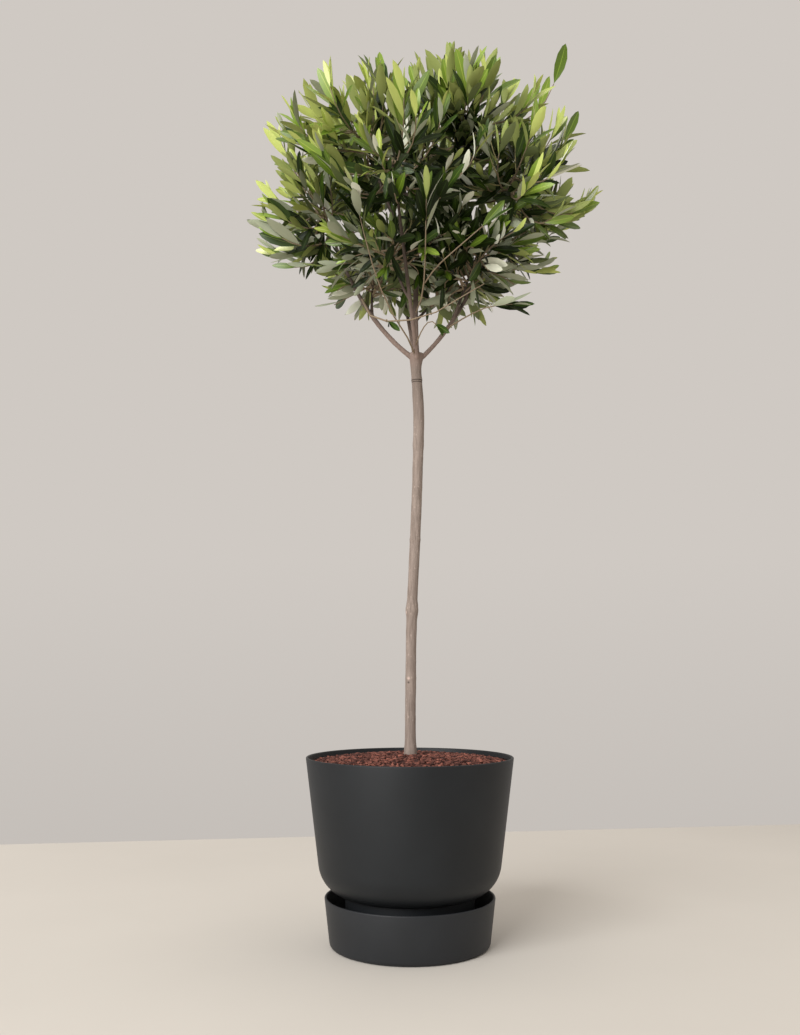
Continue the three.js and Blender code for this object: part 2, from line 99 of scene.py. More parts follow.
class PlanterSizes(bpy.types.PropertyGroup):
    """The planter and its saucer."""

    rim_radius: length("Rim radius", "Outer radius of the pot at its rim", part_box("pot")[1].x)
    rim_height: length("Rim height", "Height of the pot's rim above the floor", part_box("pot")[1].z)
    side_foot_radius: length("Side foot radius", "Radius where the straight side ends", 0.1086)
    side_foot_height: length("Side foot height", "Height where the straight side ends", 0.091)
    belly_radius: length("Belly radius", "Rounding between the side and the foot", 0.040)
    foot_radius: length("Foot radius", "Outer radius of the pot's foot", 0.076)
    foot_height: length("Foot height", "Height of the pot's underside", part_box("pot")[0].z)
    wall: length("Wall", "Thickness of the pot's wall", 0.003)
    floor: length("Floor", "Thickness of the pot's floor", 0.004)
    saucer_rim: length("Saucer rim", "Outer radius of the saucer's rim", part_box("saucer")[1].x)
    saucer_height: length("Saucer height", "Height of the saucer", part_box("saucer")[1].z)
    saucer_base: length("Saucer base", "Outer radius of the saucer at its base", 0.095)
    saucer_round: length("Saucer rounding", "Rounding at the saucer's base", 0.005)
    saucer_wall: length("Saucer wall", "Thickness of the saucer's wall", 0.0028)
    saucer_floor: length("Saucer floor", "Thickness of the saucer's floor", 0.004)
    pot_colour: colour("Pot", "Colour of the pot", "181b1e")
    # The saucer is the pot's plastic painted lighter: painted light, as if bounced up from the
    # floor.
    saucer_colour_and_painted_light: colour("Saucer", "Colour of the saucer", "212326")


class SoilSizes(bpy.types.PropertyGroup):
    """The potting soil and its granules."""

    edge_radius: length("Edge radius", "Radius of the soil at its top edge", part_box("soil")[1].x)
    mound: length("Mound", "Height of the soil's middle above its edge", 0.009)
    granules: count("Granules", "Number of bark granules on the soil", 3500)
    granule: length("Granule", "Usual length of a granule", 0.0072)
    dark: colour("Dark", "Colour of the soil between the granules", "36201d")
    light: colour("Light", "Colour of the lightest granules", "935c4e")


class WoodSizes(bpy.types.PropertyGroup):
    """The trunk, the boughs and the twigs."""

    trunk_radius: length("Trunk radius", "Radius of the trunk between its knots", 0.0065)
    bough_tip: length("Bough tip", "Radius of a bough where it enters its mass", 0.0019)
    stem_tip: length("Stem tip", "Radius of a stem at its end", 0.0012)
    shoot_root: length("Shoot root", "Radius of a shoot at its root", 0.00135)
    shoot_tip: length("Shoot tip", "Radius of a shoot at its tip", 0.0006)
    side_reach: share("Side reach", "How far out side twigs reach, as a share of the outline", 0.93)
    relief: length("Relief", "Depth of the bark's relief", 0.00045)
    fineness: length("Fineness", "Edge of the mesh that carries the relief", 0.0009)
    bark: colour("Bark", "Colour of the bark", "8f8178")
    # Besides the folds, this colour paints the shade on the upper trunk, and darkened, the painted
    # shade inside the crown and on the stems.
    bark_dark: colour("Dark bark", "Colour of the bark in its folds", "6c5f56")
    scar: colour("Scar", "Colour of the pruning scars", "c6b0a4")
    fork: colour("Fork", "Colour of the young bark at the fork", "917a70")
    twig: colour("Twig", "Colour of the young twigs", "8a7963")


class CrownSizes(bpy.types.PropertyGroup):
    """The crown's outline and how densely it is filled."""

    centre_x: length("Centre", "How far right of the planter's axis the crown's centre is", 0.020)
    centre_z: length("Centre height", "Height of the crown's centre", 0.925)
    across: length("Across", "Reach of the crown to each side", 0.208)
    above: length("Above", "Reach of the crown upwards", 0.162)
    below: length("Below", "Reach of the crown downwards", 0.162)
    bulge: share("Bulge", "How far the outline stands out over each mass", 0.05)
    hollow: share("Hollow", "How fast the outline falls off between two masses", 0.55)
    outer_shoots: count("Outer shoots", "Shoots that end on the outline", 146)
    middle_shoots: count("Middle shoots", "Shoots that end half way in", 60)
    inner_shoots: count("Inner shoots", "Shoots that fill the inside", 36)
    seed: count("Seed", "Another seed grows another crown", 100)


class LeafSizes(bpy.types.PropertyGroup):
    """The leaves, and how they stand on their twigs."""

    length: length("Length", "Length of a full-grown leaf", 0.049)
    width: length("Width", "Width of a full-grown leaf", 0.0126)
    thickness: length("Thickness", "Thickness of a leaf at its midrib", 0.0006)
    pair_step: length("Pair step", "Distance between two pairs of leaves", 0.0120)
    bare_foot: length("Bare foot", "Foot of a twig that bears no leaves", 0.014)
    side_share: share("Side share", "Size of the leaves on side twigs, as a share", 0.86)
    faces_light: share("Faces light", "How far a leaf turns its face outwards and up", 1.1, 5.0)


class LeafColours(bpy.types.PropertyGroup):
    """Leaf colours, from old leaves in painted shade inside to young leaves in painted light at the
    tips.
    """

    # The darkest upper side: old leaves, darkened further as painted shade deep in the crown.
    oldest: colour("Oldest", "Upper side of the oldest leaves", "182406")
    old: colour("Old", "Upper side of old leaves", "2c410b")
    grown: colour("Grown", "Upper side of grown leaves", "546b1a")
    fresh: colour("Fresh", "Upper side of fresh leaves", "7a9430")
    young: colour("Young", "Upper side of young leaves", "a3b24e")
    # The lightest upper side: young leaves, lightened further as painted highlights on the lit tips.
    youngest: colour("Youngest", "Upper side of the youngest leaves", "d2d896")
    under_old: colour("Under, old", "Underside of old leaves", "6b7649")
    under_grown: colour("Under, grown", "Underside of grown leaves", "9aa55e")
    under_young: colour("Under, young", "Underside of young leaves", "bdc86e")
    under_silver: colour("Under, silver", "Silvery underside, low in the crown", "a4aa90")
    under_pale: colour("Under, palest", "Underside of the palest leaves", "e4e6d2")


class StageLooks(bpy.types.PropertyGroup):
    """The floor, the light and the camera."""

    floor: colour("Floor", "Colour of the floor", "cdc8c0")
    surroundings: colour("Surroundings", "Colour of the soft light all round", "cfc9c3")
    overhead: share("Overhead", "How much brighter the light is from overhead", 1.7, 20.0)
    in_front: share("In front", "How much of the light comes from the viewer's side", 0.42, 20.0)
    key_power: share("Key", "Power of the main lamp in watts", 262.0, 1000.0)
    fill_power: share("Fill", "Power of the soft lamp on the right in watts", 1.5, 1000.0)
    floor_depth: length("Floor depth", "How far behind the plant the floor ends", 0.76)


class OliveSettings(bpy.types.PropertyGroup):
    """Everything that can be changed about the plant."""

    planter: bpy.props.PointerProperty(type=PlanterSizes)
    soil: bpy.props.PointerProperty(type=SoilSizes)
    wood: bpy.props.PointerProperty(type=WoodSizes)
    crown: bpy.props.PointerProperty(type=CrownSizes)
    leaf: bpy.props.PointerProperty(type=LeafSizes)
    leaf_colours: bpy.props.PointerProperty(type=LeafColours)
    stage: bpy.props.PointerProperty(type=StageLooks)


def settings():
    """The plant's settings."""
    return bpy.context.scene.olive


# Materials


def shader_of(made):
    """The principled shader of a material."""
    return made.node_tree.nodes["Principled BSDF"]


def material(name, base, roughness, specular):
    """A principled material with a plain base colour."""
    made = bpy.data.materials.new(name)
    made.use_nodes = True
    inputs = shader_of(made).inputs
    inputs["Base Color"].default_value = (*base, 1.0)
    inputs["Roughness"].default_value = roughness
    inputs["Specular IOR Level"].default_value = specular
    return made


def node(made, kind, **values):
    """A new shader node with its inputs set by name."""
    new = made.node_tree.nodes.new(kind)
    for key, value in values.items():
        new.inputs[key.replace("_", " ")].default_value = value
    return new


def calculation(made, kind, operation):
    """A new shader node that calculates."""
    new = node(made, kind)
    new.operation = operation
    return new


def shade_of(tint, factor):
    """A lighter or darker shade of a linear colour."""
    return tuple(min(1.0, factor * c) for c in tint)


def join(made, source, output, target, entry):
    """Links two shader nodes by the names of their sockets."""
    made.node_tree.links.new(source.outputs[output], target.inputs[entry])


def mapped(made, stretch=(1, 1, 1)):
    """Object coordinates, scaled along each axis."""
    place = node(made, "ShaderNodeTexCoord")
    mapping = node(made, "ShaderNodeMapping", Scale=stretch)
    join(made, place, "Object", mapping, "Vector")
    return mapping


def noise_on(made, scale, detail, stretch=(1, 1, 1)):
    """Noise read along object coordinates, scaled along each axis."""
    mapping = mapped(made, stretch)
    texture = node(made, "ShaderNodeTexNoise", Scale=scale, Detail=detail)
    join(made, mapping, "Vector", texture, "Vector")
    return texture


def ramp(made, source, stops, output="Fac"):
    """Colours dealt out by a value: stops are pairs of a value and a linear colour."""
    made_ramp = node(made, "ShaderNodeValToRGB")
    elements = made_ramp.color_ramp.elements
    while len(elements) < len(stops):
        elements.new(0.5)
    for element, (value, tint) in zip(elements, stops):
        element.position = value
        element.color = (*tint, 1.0)
    join(made, source, output, made_ramp, "Fac")
    return made_ramp


def fading(made, source, output, start, end, low=0.0, high=1.0):
    """A value that goes from low to high while its source goes from start to end."""
    fade = node(made, "ShaderNodeMapRange", From_Min=start, From_Max=end, To_Min=low, To_Max=high)
    join(made, source, output, fade, "Value")
    return fade


def colour_output(source):
    """The output of a node that gives a colour."""
    return next(s for s in source.outputs if s.type == "RGBA")


def mixed(made, factor, factor_output, first, second):
    """A colour between two others, by a factor node. Each is a node or a linear colour."""
    mix = node(made, "ShaderNodeMix")
    mix.data_type = "RGBA"
    join(made, factor, factor_output, mix, "Factor")
    for side, entry in ((first, "A"), (second, "B")):
        socket = next(s for s in mix.inputs if s.name == entry and s.type == "RGBA")
        if isinstance(side, tuple):
            socket.default_value = (*side, 1.0)
        else:
            made.node_tree.links.new(colour_output(side), socket)
    return mix


def paint(made, source):
    """Sends a colour node to the shader's base colour."""
    made.node_tree.links.new(colour_output(source), shader_of(made).inputs["Base Color"])


def roughen(made, texture, depth, strength=1.0):
    """Sends a noise texture to the shader's normal as a bump that is depth metres deep."""
    bump = node(made, "ShaderNodeBump", Distance=depth, Strength=strength)
    join(made, texture, "Fac", bump, "Height")
    join(made, bump, "Normal", shader_of(made), "Normal")


def mottle(made, base, scale, detail, shades):
    """Paints patches of shades of the base colour, and gives the noise that deals them out."""
    patches = noise_on(made, scale, detail)
    stops = [(value, shade_of(base, factor)) for value, factor in shades]
    paint(made, ramp(made, patches, stops))
    return patches


def planter_plastic(name, base):
    """Matt anthracite plastic with a fine even grain and faint cloudy patches."""
    made = material(name, base, roughness=0.52, specular=0.34)
    mottle(made, base, scale=14.0, detail=2.0, shades=[(0.3, 0.86), (0.7, 1.16)])
    grain = noise_on(made, scale=1400.0, detail=1.0)
    roughen(made, grain, depth=0.00006)
    return made


def soil_body():
    """Dark red-brown compost between the granules."""
    dark = tuple(settings().soil.dark)
    made = material("soil_body", dark, roughness=0.95, specular=0.2)
    crumbs = mottle(made, dark, scale=260.0, detail=3.0, shades=[(0.35, 1.0), (0.65, 2.1)])
    roughen(made, crumbs, depth=0.001)
    return made


# The kinds of granule, from dark to light: how light each is, and its share of the granules
GRANULE_KINDS = [(0.05, 0.2), (0.22, 0.28), (0.42, 0.28), (0.68, 0.17), (1.0, 0.07)]


def granule_colours():
    """Plain colours of the bark granules, from dark to light."""
    looks = settings().soil
    dark, light = np.array(looks.dark), np.array(looks.light)
    tints = [tuple(dark + (light - dark) * lightness) for lightness, _ in GRANULE_KINDS]
    return [
        material(f"granule_{i + 1}", tint, roughness=0.9, specular=0.25)
        for i, tint in enumerate(tints)
    ]


# Marks on the trunk: pale scars and dark scars as centre and radius, and the heights of thin rings.
PALE_SCARS = [
    ((-0.0016, -0.0064, 0.309), 0.0026),
    ((-0.0052, -0.0030, 0.389), 0.0028),
    ((0.0095, -0.0095, 0.713), 0.0036),
]
DARK_SCARS = [((-0.0018, -0.0063, 0.304), 0.0020)]
RING_HALF_WIDTH = 0.0006
RING_HEIGHTS = [0.6831, 0.6806]


def spot(made, centre, radius):
    """A soft round spot on a piece: one at its centre and nothing from its radius on."""
    core = 0.3 * radius
    away = calculation(made, "ShaderNodeVectorMath", "DISTANCE")
    away.inputs[1].default_value = centre
    join(made, mapped(made), "Vector", away, 0)
    return fading(made, away, "Value", core, radius, low=1.0, high=0.0)


def bark():
    """Smooth grey-brown young bark: upright streaks, dark folds, small pale pores and marks, and
    painted shade below and inside the crown.
    """
    looks = settings().wood
    base, dark = tuple(looks.bark), tuple(looks.bark_dark)
    scar, fork = tuple(looks.scar), tuple(looks.fork)
    # The darkest shade also paints the shade on the bark inside the crown; the dark scar and the
    # rings take it too.
    pale, darkest = shade_of(base, 1.35), shade_of(dark, 0.42)
    white, black = (1.0, 1.0, 1.0), (0.0, 0.0, 0.0)
    made = material("bark", base, roughness=0.82, specular=0.3)
    streaks = noise_on(made, scale=420.0, detail=4.0, stretch=(1, 1, 0.12))
    patches = noise_on(made, scale=55.0, detail=2.0, stretch=(1, 1, 0.5))
    streaked = ramp(made, streaks, [(0.3, dark), (0.55, base), (0.75, pale)])
    marked = mixed(made, patches, "Fac", streaked, base)
    pores = node(made, "ShaderNodeTexVoronoi", Scale=210.0)
    join(made, mapped(made, (1, 1, 0.6)), "Vector", pores, "Vector")
    dots = ramp(made, pores, [(0.10, white), (0.22, black)], "Distance")
    marked = mixed(made, dots, "Color", marked, pale)
    for scars, tint in ((PALE_SCARS, scar), (DARK_SCARS, darkest)):
        for centre, radius in scars:
            marked = mixed(made, spot(made, centre, radius), "Result", marked, tint)
    heights = node(made, "ShaderNodeSeparateXYZ")
    join(made, mapped(made), "Vector", heights, "Vector")
    # Each row: between which heights a tint comes in, how much of it at most, and the tint. The
    # first row is painted shade on the upper trunk below the crown, the second the young pinkish
    # bark at the fork, and the third painted shade inside the crown.
    for start, end, most, tint in (
        (0.615, 0.665, 0.45, dark),
        (0.695, 0.712, 0.45, fork),
        (0.735, 0.79, 0.8, darkest),
    ):
        higher = fading(made, heights, "Z", start, end, high=most)
        marked = mixed(made, higher, "Result", marked, tint)
    for height in RING_HEIGHTS:
        ring = calculation(made, "ShaderNodeMath", "COMPARE")
        ring.inputs[1].default_value = height
        ring.inputs[2].default_value = RING_HALF_WIDTH
        join(made, heights, "Z", ring, 0)
        marked = mixed(made, ring, "Value", marked, darkest)
    paint(made, marked)
    roughen(made, streaks, depth=0.0004, strength=0.7)
    return made


def twig_colours():
    """Plain colours of the twigs: grey-brown stems darkened by painted shade, tan shoots and
    green-tan tips.
    """
    looks = settings().wood
    stem_painted_shade, green = 0.35, 0.2
    # The stems sit inside the crown: their dark colour is partly painted shade.
    stem = shade_of(looks.bark_dark, stem_painted_shade)
    young = settings().leaf_colours.young
    tip = tuple((1 - green) * t + green * y for t, y in zip(looks.twig, young))
    return [
        material("twig_stem", stem, roughness=0.8, specular=0.3),
        material("twig_shoot", tuple(looks.twig), roughness=0.75, specular=0.3),
        material("twig_tip", tip, roughness=0.7, specular=0.3),
    ]


# The upper sides from the darkest, old leaves in painted shade, to the lightest, young leaves in
# painted light, each with its shine
UPPER_SIDES = {
    "oldest": 0.15,
    "old": 0.3,
    "grown": 0.5,
    "fresh": 0.6,
    "young": 0.6,
    "youngest": 0.6,
}
UNDERSIDES = ["under_old", "under_grown", "under_young", "under_silver", "under_pale"]


def leaf_colours():
    """Plain colours of the leaves: the upper sides first, then the undersides."""
    looks = settings().leaf_colours
    rows = [(name, 0.38, shine) for name, shine in UPPER_SIDES.items()]
    rows += [(name, 0.6, 0.3) for name in UNDERSIDES]
    return [
        material(f"leaf_{name}", tuple(getattr(looks, name)), roughness, shine)
        for name, roughness, shine in rows
    ]


# Pieces


def piece(name, mesh, materials, nodes):
    """Links a mesh as a piece of the plant that stands for the nodes named."""
    made = bpy.data.objects.new(name, mesh)
    bpy.context.scene.collection.objects.link(made)
    for each in materials:
        mesh.materials.append(each)
    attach(made, "root")
    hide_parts(*nodes)


def mesh_of(shape, name, sharp_angle=None):
    """A bmesh as a smooth mesh, with sharp edges past an angle where one is given."""
    mesh = bpy.data.meshes.new(name)
    shape.to_mesh(mesh)
    shape.free()
    mesh.shade_smooth()
    if sharp_angle is not None:
        mesh.set_sharp_from_angle(angle=sharp_angle)
    return mesh


def turned(profile, steps=144):
    """A profile of pairs of radius and height, spun round the upright axis and closed."""
    shape = bmesh.new()
    points = [shape.verts.new((r, 0, z)) for r, z in profile]
    lines = [shape.edges.new(pair) for pair in zip(points, points[1:])]
    bmesh.ops.spin(
        shape,
        geom=points + lines,
        cent=(0, 0, 0),
        axis=(0, 0, 1),
        angle=2 * math.pi,
        steps=steps,
        use_merge=True,
        use_duplicate=False,
    )
    bmesh.ops.remove_doubles(shape, verts=shape.verts, dist=1e-6)
    bmesh.ops.recalc_face_normals(shape, faces=shape.faces)
    return shape


def arc(cx, cz, radius, start, end, steps):
    """Points on an arc in the profile plane."""
    angles = np.linspace(start, end, steps + 1)
    return [(cx + radius * math.cos(a), cz + radius * math.sin(a)) for a in angles]


def pot_side(sizes, inset, steps):
    """The rounding between the pot's foot and its straight side, drawn in by inset."""
    rise = sizes.rim_height - sizes.side_foot_height
    lean = math.atan2(sizes.rim_radius - sizes.side_foot_radius, rise)
    cx = sizes.side_foot_radius - sizes.belly_radius * math.cos(lean)
    cz = sizes.side_foot_height + sizes.belly_radius * math.sin(lean)
    belly_turn = 1.25
    return arc(cx, cz, sizes.belly_radius - inset, -lean - belly_turn, -lean, steps)


def pot_shape(sizes):
    """The pot: a rounded foot, a leaning side and a rounded lip."""
    foot, rim, top = sizes.foot_radius, sizes.rim_radius, sizes.rim_height
    bottom, wall = sizes.foot_height, sizes.wall
    corner, lip = 0.002, wall / 2
    inside = bottom + sizes.floor
    return turned(
        [
            (0, bottom),
            *arc(foot - corner, bottom + corner, corner, -math.pi / 2, 0, 4),
            *pot_side(sizes, 0, 18),
            *arc(rim - lip, top - lip, lip, 0, math.pi, 8),
            *reversed(pot_side(sizes, wall, 10)),
            (foot - wall, inside),
            (0, inside),
        ]
    )


def saucer_shape(sizes):
    """The saucer: a flat base, a rounded corner, a near-upright side and a rounded lip."""
    base, corner, wall = sizes.saucer_base, sizes.saucer_round, sizes.saucer_wall
    rim, top = sizes.saucer_rim, sizes.saucer_height
    floor = sizes.saucer_floor
    lip = wall / 2
    return turned(
        [
            (0, 0),
            *arc(base - corner, corner, corner, -math.pi / 2, 0, 6),
            *arc(rim - lip, top - lip, lip, 0, math.pi, 8),
            *arc(base - wall - corner, floor + corner, corner, 0, -math.pi / 2, 4),
            (0, floor),
        ]
    )


class OLIVE_OT_planter(bpy.types.Operator):
    """Turn the pot and the saucer and give them their matt plastic"""

    bl_idname = "olive.planter"
    bl_label = "Pot and saucer"

    def execute(self, context):
        sizes = context.scene.olive.planter
        crease = math.radians(40)
        # The saucer's lighter copy of the plastic is painted light.
        for part, shape, tint in (
            ("pot", pot_shape(sizes), sizes.pot_colour),
            ("saucer", saucer_shape(sizes), sizes.saucer_colour_and_painted_light),
        ):
            name = f"{part}_turned"
            plastic = planter_plastic(f"{part}_plastic", tuple(tint))
            piece(name, mesh_of(shape, name, crease), [plastic], [part])
        return {"FINISHED"}


# Soil


SOIL_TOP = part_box("soil")[1].z


def soil_height(sizes, radius):
    """Height of the soil's mound at a distance, or distances, from the middle."""
    return SOIL_TOP - sizes.mound * np.minimum(1.0, radius / sizes.edge_radius) ** 2


def soil_shape(sizes, planter):
    """The soil as one body that fills the pot, with an uneven top that lies below the granules."""
    rings, gap = 22, 0.0003
    dent, dent_scale, sunk = 0.0012, 120, 0.0022
    inside = planter.foot_height + planter.floor + gap
    foot = planter.foot_radius - planter.wall - 2 * gap
    radii = np.linspace(sizes.edge_radius, 0, rings + 1)
    shape = turned(
        [
            (0, inside),
            (foot, inside),
            *pot_side(planter, planter.wall + gap, 6),
            *zip(radii, soil_height(sizes, radii)),
        ],
        120,
    )
    lowest = soil_height(sizes, sizes.edge_radius) - 0.001
    for vert in shape.verts:
        if vert.co.z > lowest and vert.co.xy.length < 0.99 * sizes.edge_radius:
            vert.co.z += dent * noise.noise(vert.co * dent_scale) - sunk
    return shape


def template_of(shape):
    """A bmesh of triangles as arrays: its corners and its triangles."""
    shape.verts.index_update()
    corners = np.array([vert.co for vert in shape.verts])
    triangles = np.array([[vert.index for vert in face.verts] for face in shape.faces])
    return corners, triangles


def copies_of(triangles, corners, number):
    """The triangles of a template, counted on for each of its copies."""
    starts = len(corners) * np.arange(number)
    return (triangles + starts[:, None, None]).reshape(-1, 3)


def granule_template():
    """A rough granule, one across: its corners and its triangles."""
    shape = bmesh.new()
    bmesh.ops.create_icosphere(shape, subdivisions=1, radius=0.5)
    corners, triangles = template_of(shape)
    shape.free()
    return corners, triangles


def random_turns(random, number):
    """Random rotations as 3 by 3 arrays."""
    quaternions = random.normal(size=(number, 4))
    quaternions /= np.linalg.norm(quaternions, axis=1, keepdims=True)
    w, x, y, z = quaternions.T
    return np.stack(
        [
            np.stack([1 - 2 * (y * y + z * z), 2 * (x * y - z * w), 2 * (x * z + y * w)], -1),
            np.stack([2 * (x * y + z * w), 1 - 2 * (x * x + z * z), 2 * (y * z - x * w)], -1),
            np.stack([2 * (x * z - y * w), 2 * (y * z + x * w), 1 - 2 * (x * x + y * y)], -1),
        ],
        1,
    )


def joined_mesh(name, corners, faces, looks):
    """One mesh from arrays of corners, faces and each face's material number, with crisp edges."""
    mesh = bpy.data.meshes.new(name)
    mesh.from_pydata(corners.tolist(), [], faces.tolist())
    mesh.shade_smooth()
    mesh.set_sharp_from_angle(angle=math.radians(60))
    mesh.polygons.foreach_set("material_index", np.ascontiguousarray(looks, dtype=np.int32))
    return mesh


def granules_mesh(sizes):
    """Bark granules strewn over the soil, squashed and turned at random."""
    slimmest, plumpest = (0.45, 0.4, 0.3), (0.95, 0.8, 0.55)
    flatten = np.array([1.0, 1.0, 0.6])
    sunk, lowest, highest = 0.0018, -0.0008, 0.0012
    random = np.random.default_rng(31)
    corners, triangles = granule_template()
    number = sizes.granules
    turns = random_turns(random, number)
    stretch = sizes.granule * random.uniform(slimmest, plumpest, (number, 3))
    stretch *= random.uniform(0.55, 1.35, (number, 1)) ** 1.5
    bumps = random.uniform(0.75, 1.2, (number, len(corners), 1))
    lumps = corners[None] * bumps * stretch[:, None]
    lumps = np.einsum("nij,nkj->nki", turns, lumps)
    furthest = sizes.edge_radius - 0.4 * sizes.granule
    radii = furthest * np.sqrt(random.uniform(0, 1, number))
    angles = random.uniform(0, 2 * math.pi, number)
    heights = soil_height(sizes, radii) - sunk
    heights += random.uniform(lowest, highest, number)
    centres = np.stack([radii * np.cos(angles), radii * np.sin(angles), heights], -1)
    placed = (lumps * flatten + centres[:, None]).reshape(-1, 3)
    odds = [odds for _, odds in GRANULE_KINDS]
    kinds = np.repeat(random.choice(len(odds), number, p=odds), len(triangles))
    mesh = joined_mesh("soil_granules", placed, copies_of(triangles, corners, number), kinds)
    mesh.shade_flat()
    return mesh


class OLIVE_OT_soil(bpy.types.Operator):
    """Fill the pot with soil and strew it with bark granules"""

    bl_idname = "olive.soil"
    bl_label = "Soil"

    def execute(self, context):
        olive = context.scene.olive
        body = mesh_of(soil_shape(olive.soil, olive.planter), "soil_filling")
        piece("soil_filling", body, [soil_body()], ["soil"])
        granules = granules_mesh(olive.soil)
        piece("soil_granules", granules, granule_colours(), ["soil"])
        return {"FINISHED"}


# Growth


def unit(ways):
    """Ways scaled to a length of one."""
    return ways / np.linalg.norm(ways, axis=-1, keepdims=True)


def turned_from(onward, across, angle):
    """A way forward turned towards a way across it."""
    return onward * math.cos(angle) + across * math.sin(angle)


def direction(azimuth_degrees, elevation_degrees):
    """The way out at an azimuth and an elevation."""
    azimuth, elevation = math.radians(azimuth_degrees), math.radians(elevation_degrees)
    flat = math.cos(elevation)
    return np.array([math.cos(azimuth) * flat, math.sin(azimuth) * flat, math.sin(elevation)])


def across_of(onward, roll):
    """A way square to a way forward, at a roll round it from the level one."""
    flat = np.cross(UP, onward)
    if np.linalg.norm(flat) < 1e-6:
        flat = np.array([1.0, 0.0, 0.0])
    flat = unit(flat)
    return flat * math.cos(roll) + np.cross(onward, flat) * math.sin(roll)


# How many points a long line has
LINE_POINTS = 25


class Line:
    """A smooth line as close points, read by the share of its length."""

    def __init__(self, points):
        self.points = np.asarray(points, dtype=float)
        steps = np.linalg.norm(np.diff(self.points, axis=0), axis=1)
        reached = np.concatenate([[0.0], np.cumsum(steps)])
        self.length = reached[-1]
        self.shares = reached / self.length

    def at(self, along):
        """The point, or points, at a share of the length."""
        return np.stack([np.interp(along, self.shares, axis) for axis in self.points.T], -1)

    def onward(self, along):
        """The way the line goes at a share of its length."""
        step = 0.02
        return unit(self.at(min(1.0, along + step)) - self.at(max(0.0, along - step)))

    def stretch(self, start, end):
        """The part of the line between two shares of its length."""
        return Line(self.at(np.linspace(start, end, LINE_POINTS)))


def arch(start, bend, tip, points=LINE_POINTS):
    """A line from start to tip that bows towards bend."""
    t = np.linspace(0, 1, points)[:, None]
    return Line((1 - t) ** 2 * start + 2 * t * (1 - t) * bend + t**2 * tip)


def smooth_path(path):
    """A path with its corners rounded off and its ends kept."""
    rounds = 3
    for _ in range(rounds):
        near = 0.75 * path[:-1] + 0.25 * path[1:]
        far = 0.25 * path[:-1] + 0.75 * path[1:]
        cut = np.stack([near, far], 1).reshape(-1, 3)
        path = np.concatenate([path[:1], cut, path[-1:]])
    return path


def millimetres(*numbers):
    """A point, or rows of numbers, given in millimetres."""
    return np.array(numbers, dtype=float) / 1000


# The trunk's centre line as seen from the front, in millimetres: x and height
TRUNK_LINE = [
    (0.8, 215),
    (1.2, 290),
    (3.0, 394),
    (7.1, 481),
    (10.6, 573),
    (11.8, 637),
    (10.5, 671),
    (8.6, 702),
    (9.3, 719),
]

# The trunk's root flare, knots, leaf rings and fork, in millimetres: height, spread, extra radius
TRUNK_SWELLINGS = [
    (219, 12, 1.5),
    (262, 4, 0.25),
    (309, 3, 0.3),
    (392, 7, 1.5),
    (400, 2, 0.5),
    (479, 2.2, 0.55),
    (600, 7, 0.5),
    (637, 40, 0.5),
    (684, 2.2, 0.6),
    (719, 14, 2.6),
]

# Rings of masses: name, number, azimuth of the first, elevation, and how far out the seats are
RINGS = [
    ("top", 1, 0, 90, 0.62),
    ("upper", 4, 215, 36, 0.66),
    ("middle", 5, 180, -2, 0.64),
    ("lower", 4, 237, -48, 0.66),
]

# Main boughs: where each leaves the fork, the point it bows towards, its mass and its radius
MAIN_BOUGHS = [
    ("leader", millimetres(9.3, 0, 719), millimetres(4, 2, 775), "top_1", 0.0040),
    ("bough_left", millimetres(5, -1, 712), millimetres(-72, -10, 767), "middle_1", 0.0035),
    ("bough_right", millimetres(14, 1, 712), millimetres(64, 4, 757), "middle_4", 0.0030),
    ("bough_front", millimetres(10, -5, 708), millimetres(2, -48, 765), "middle_2", 0.0029),
    ("bough_back", millimetres(9, 5, 704), millimetres(2, 50, 770), "middle_5", 0.0030),
]

# Side boughs: the mass each carries, the limb it grows from and how far along that it leaves.
SIDE_BOUGHS = [
    ("upper_1", "leader", 0.5),
    ("upper_2", "leader", 0.7),
    ("upper_3", "leader", 0.58),
    ("upper_4", "leader", 0.8),
    ("middle_3", "bough_right", 0.5),
    ("lower_1", "bough_front", 0.4),
    ("lower_2", "bough_right", 0.34),
    ("lower_3", "bough_back", 0.4),
    ("lower_4", "bough_left", 0.42),
]
SIDE_BOUGH_RADIUS = 0.0024
SIDE_BOUGH_ANGLE = 0.75
SIDE_BOUGH_BOW = 0.4
# How thick a side bough is at most, as a share of the limb that it leaves
SIDE_BOUGH_SHARE = 0.85

# Shoots that stand out of the outline: azimuth, elevation, reach, and the size of a lone leaf at
# the tip, or 0 where the shoot is as leafy as the others.
STRAY_SHOOTS = [
    (-20, 40, 1.28, 1.1),
    (-8, 41, 1.13, 1.0),
    (-13, 23, 1.05, 1.0),
    (222, 58, 1.04, 0.85),
    (-53, 73, 1.22, 0),
    (-8, 55, 1.15, 0),
    (-2, 33, 1.13, 0),
    (8, 17, 1.04, 0),
    (-3, 0, 1.005, 0),
    (183, 44, 1.2, 0),
    (181, 27, 1.13, 0),
    (178, 8, 1.03, 0),
    (181, -17, 1.09, 0),
    (187, -27, 1.1, 0),
    (192, -37, 1.04, 0),
]

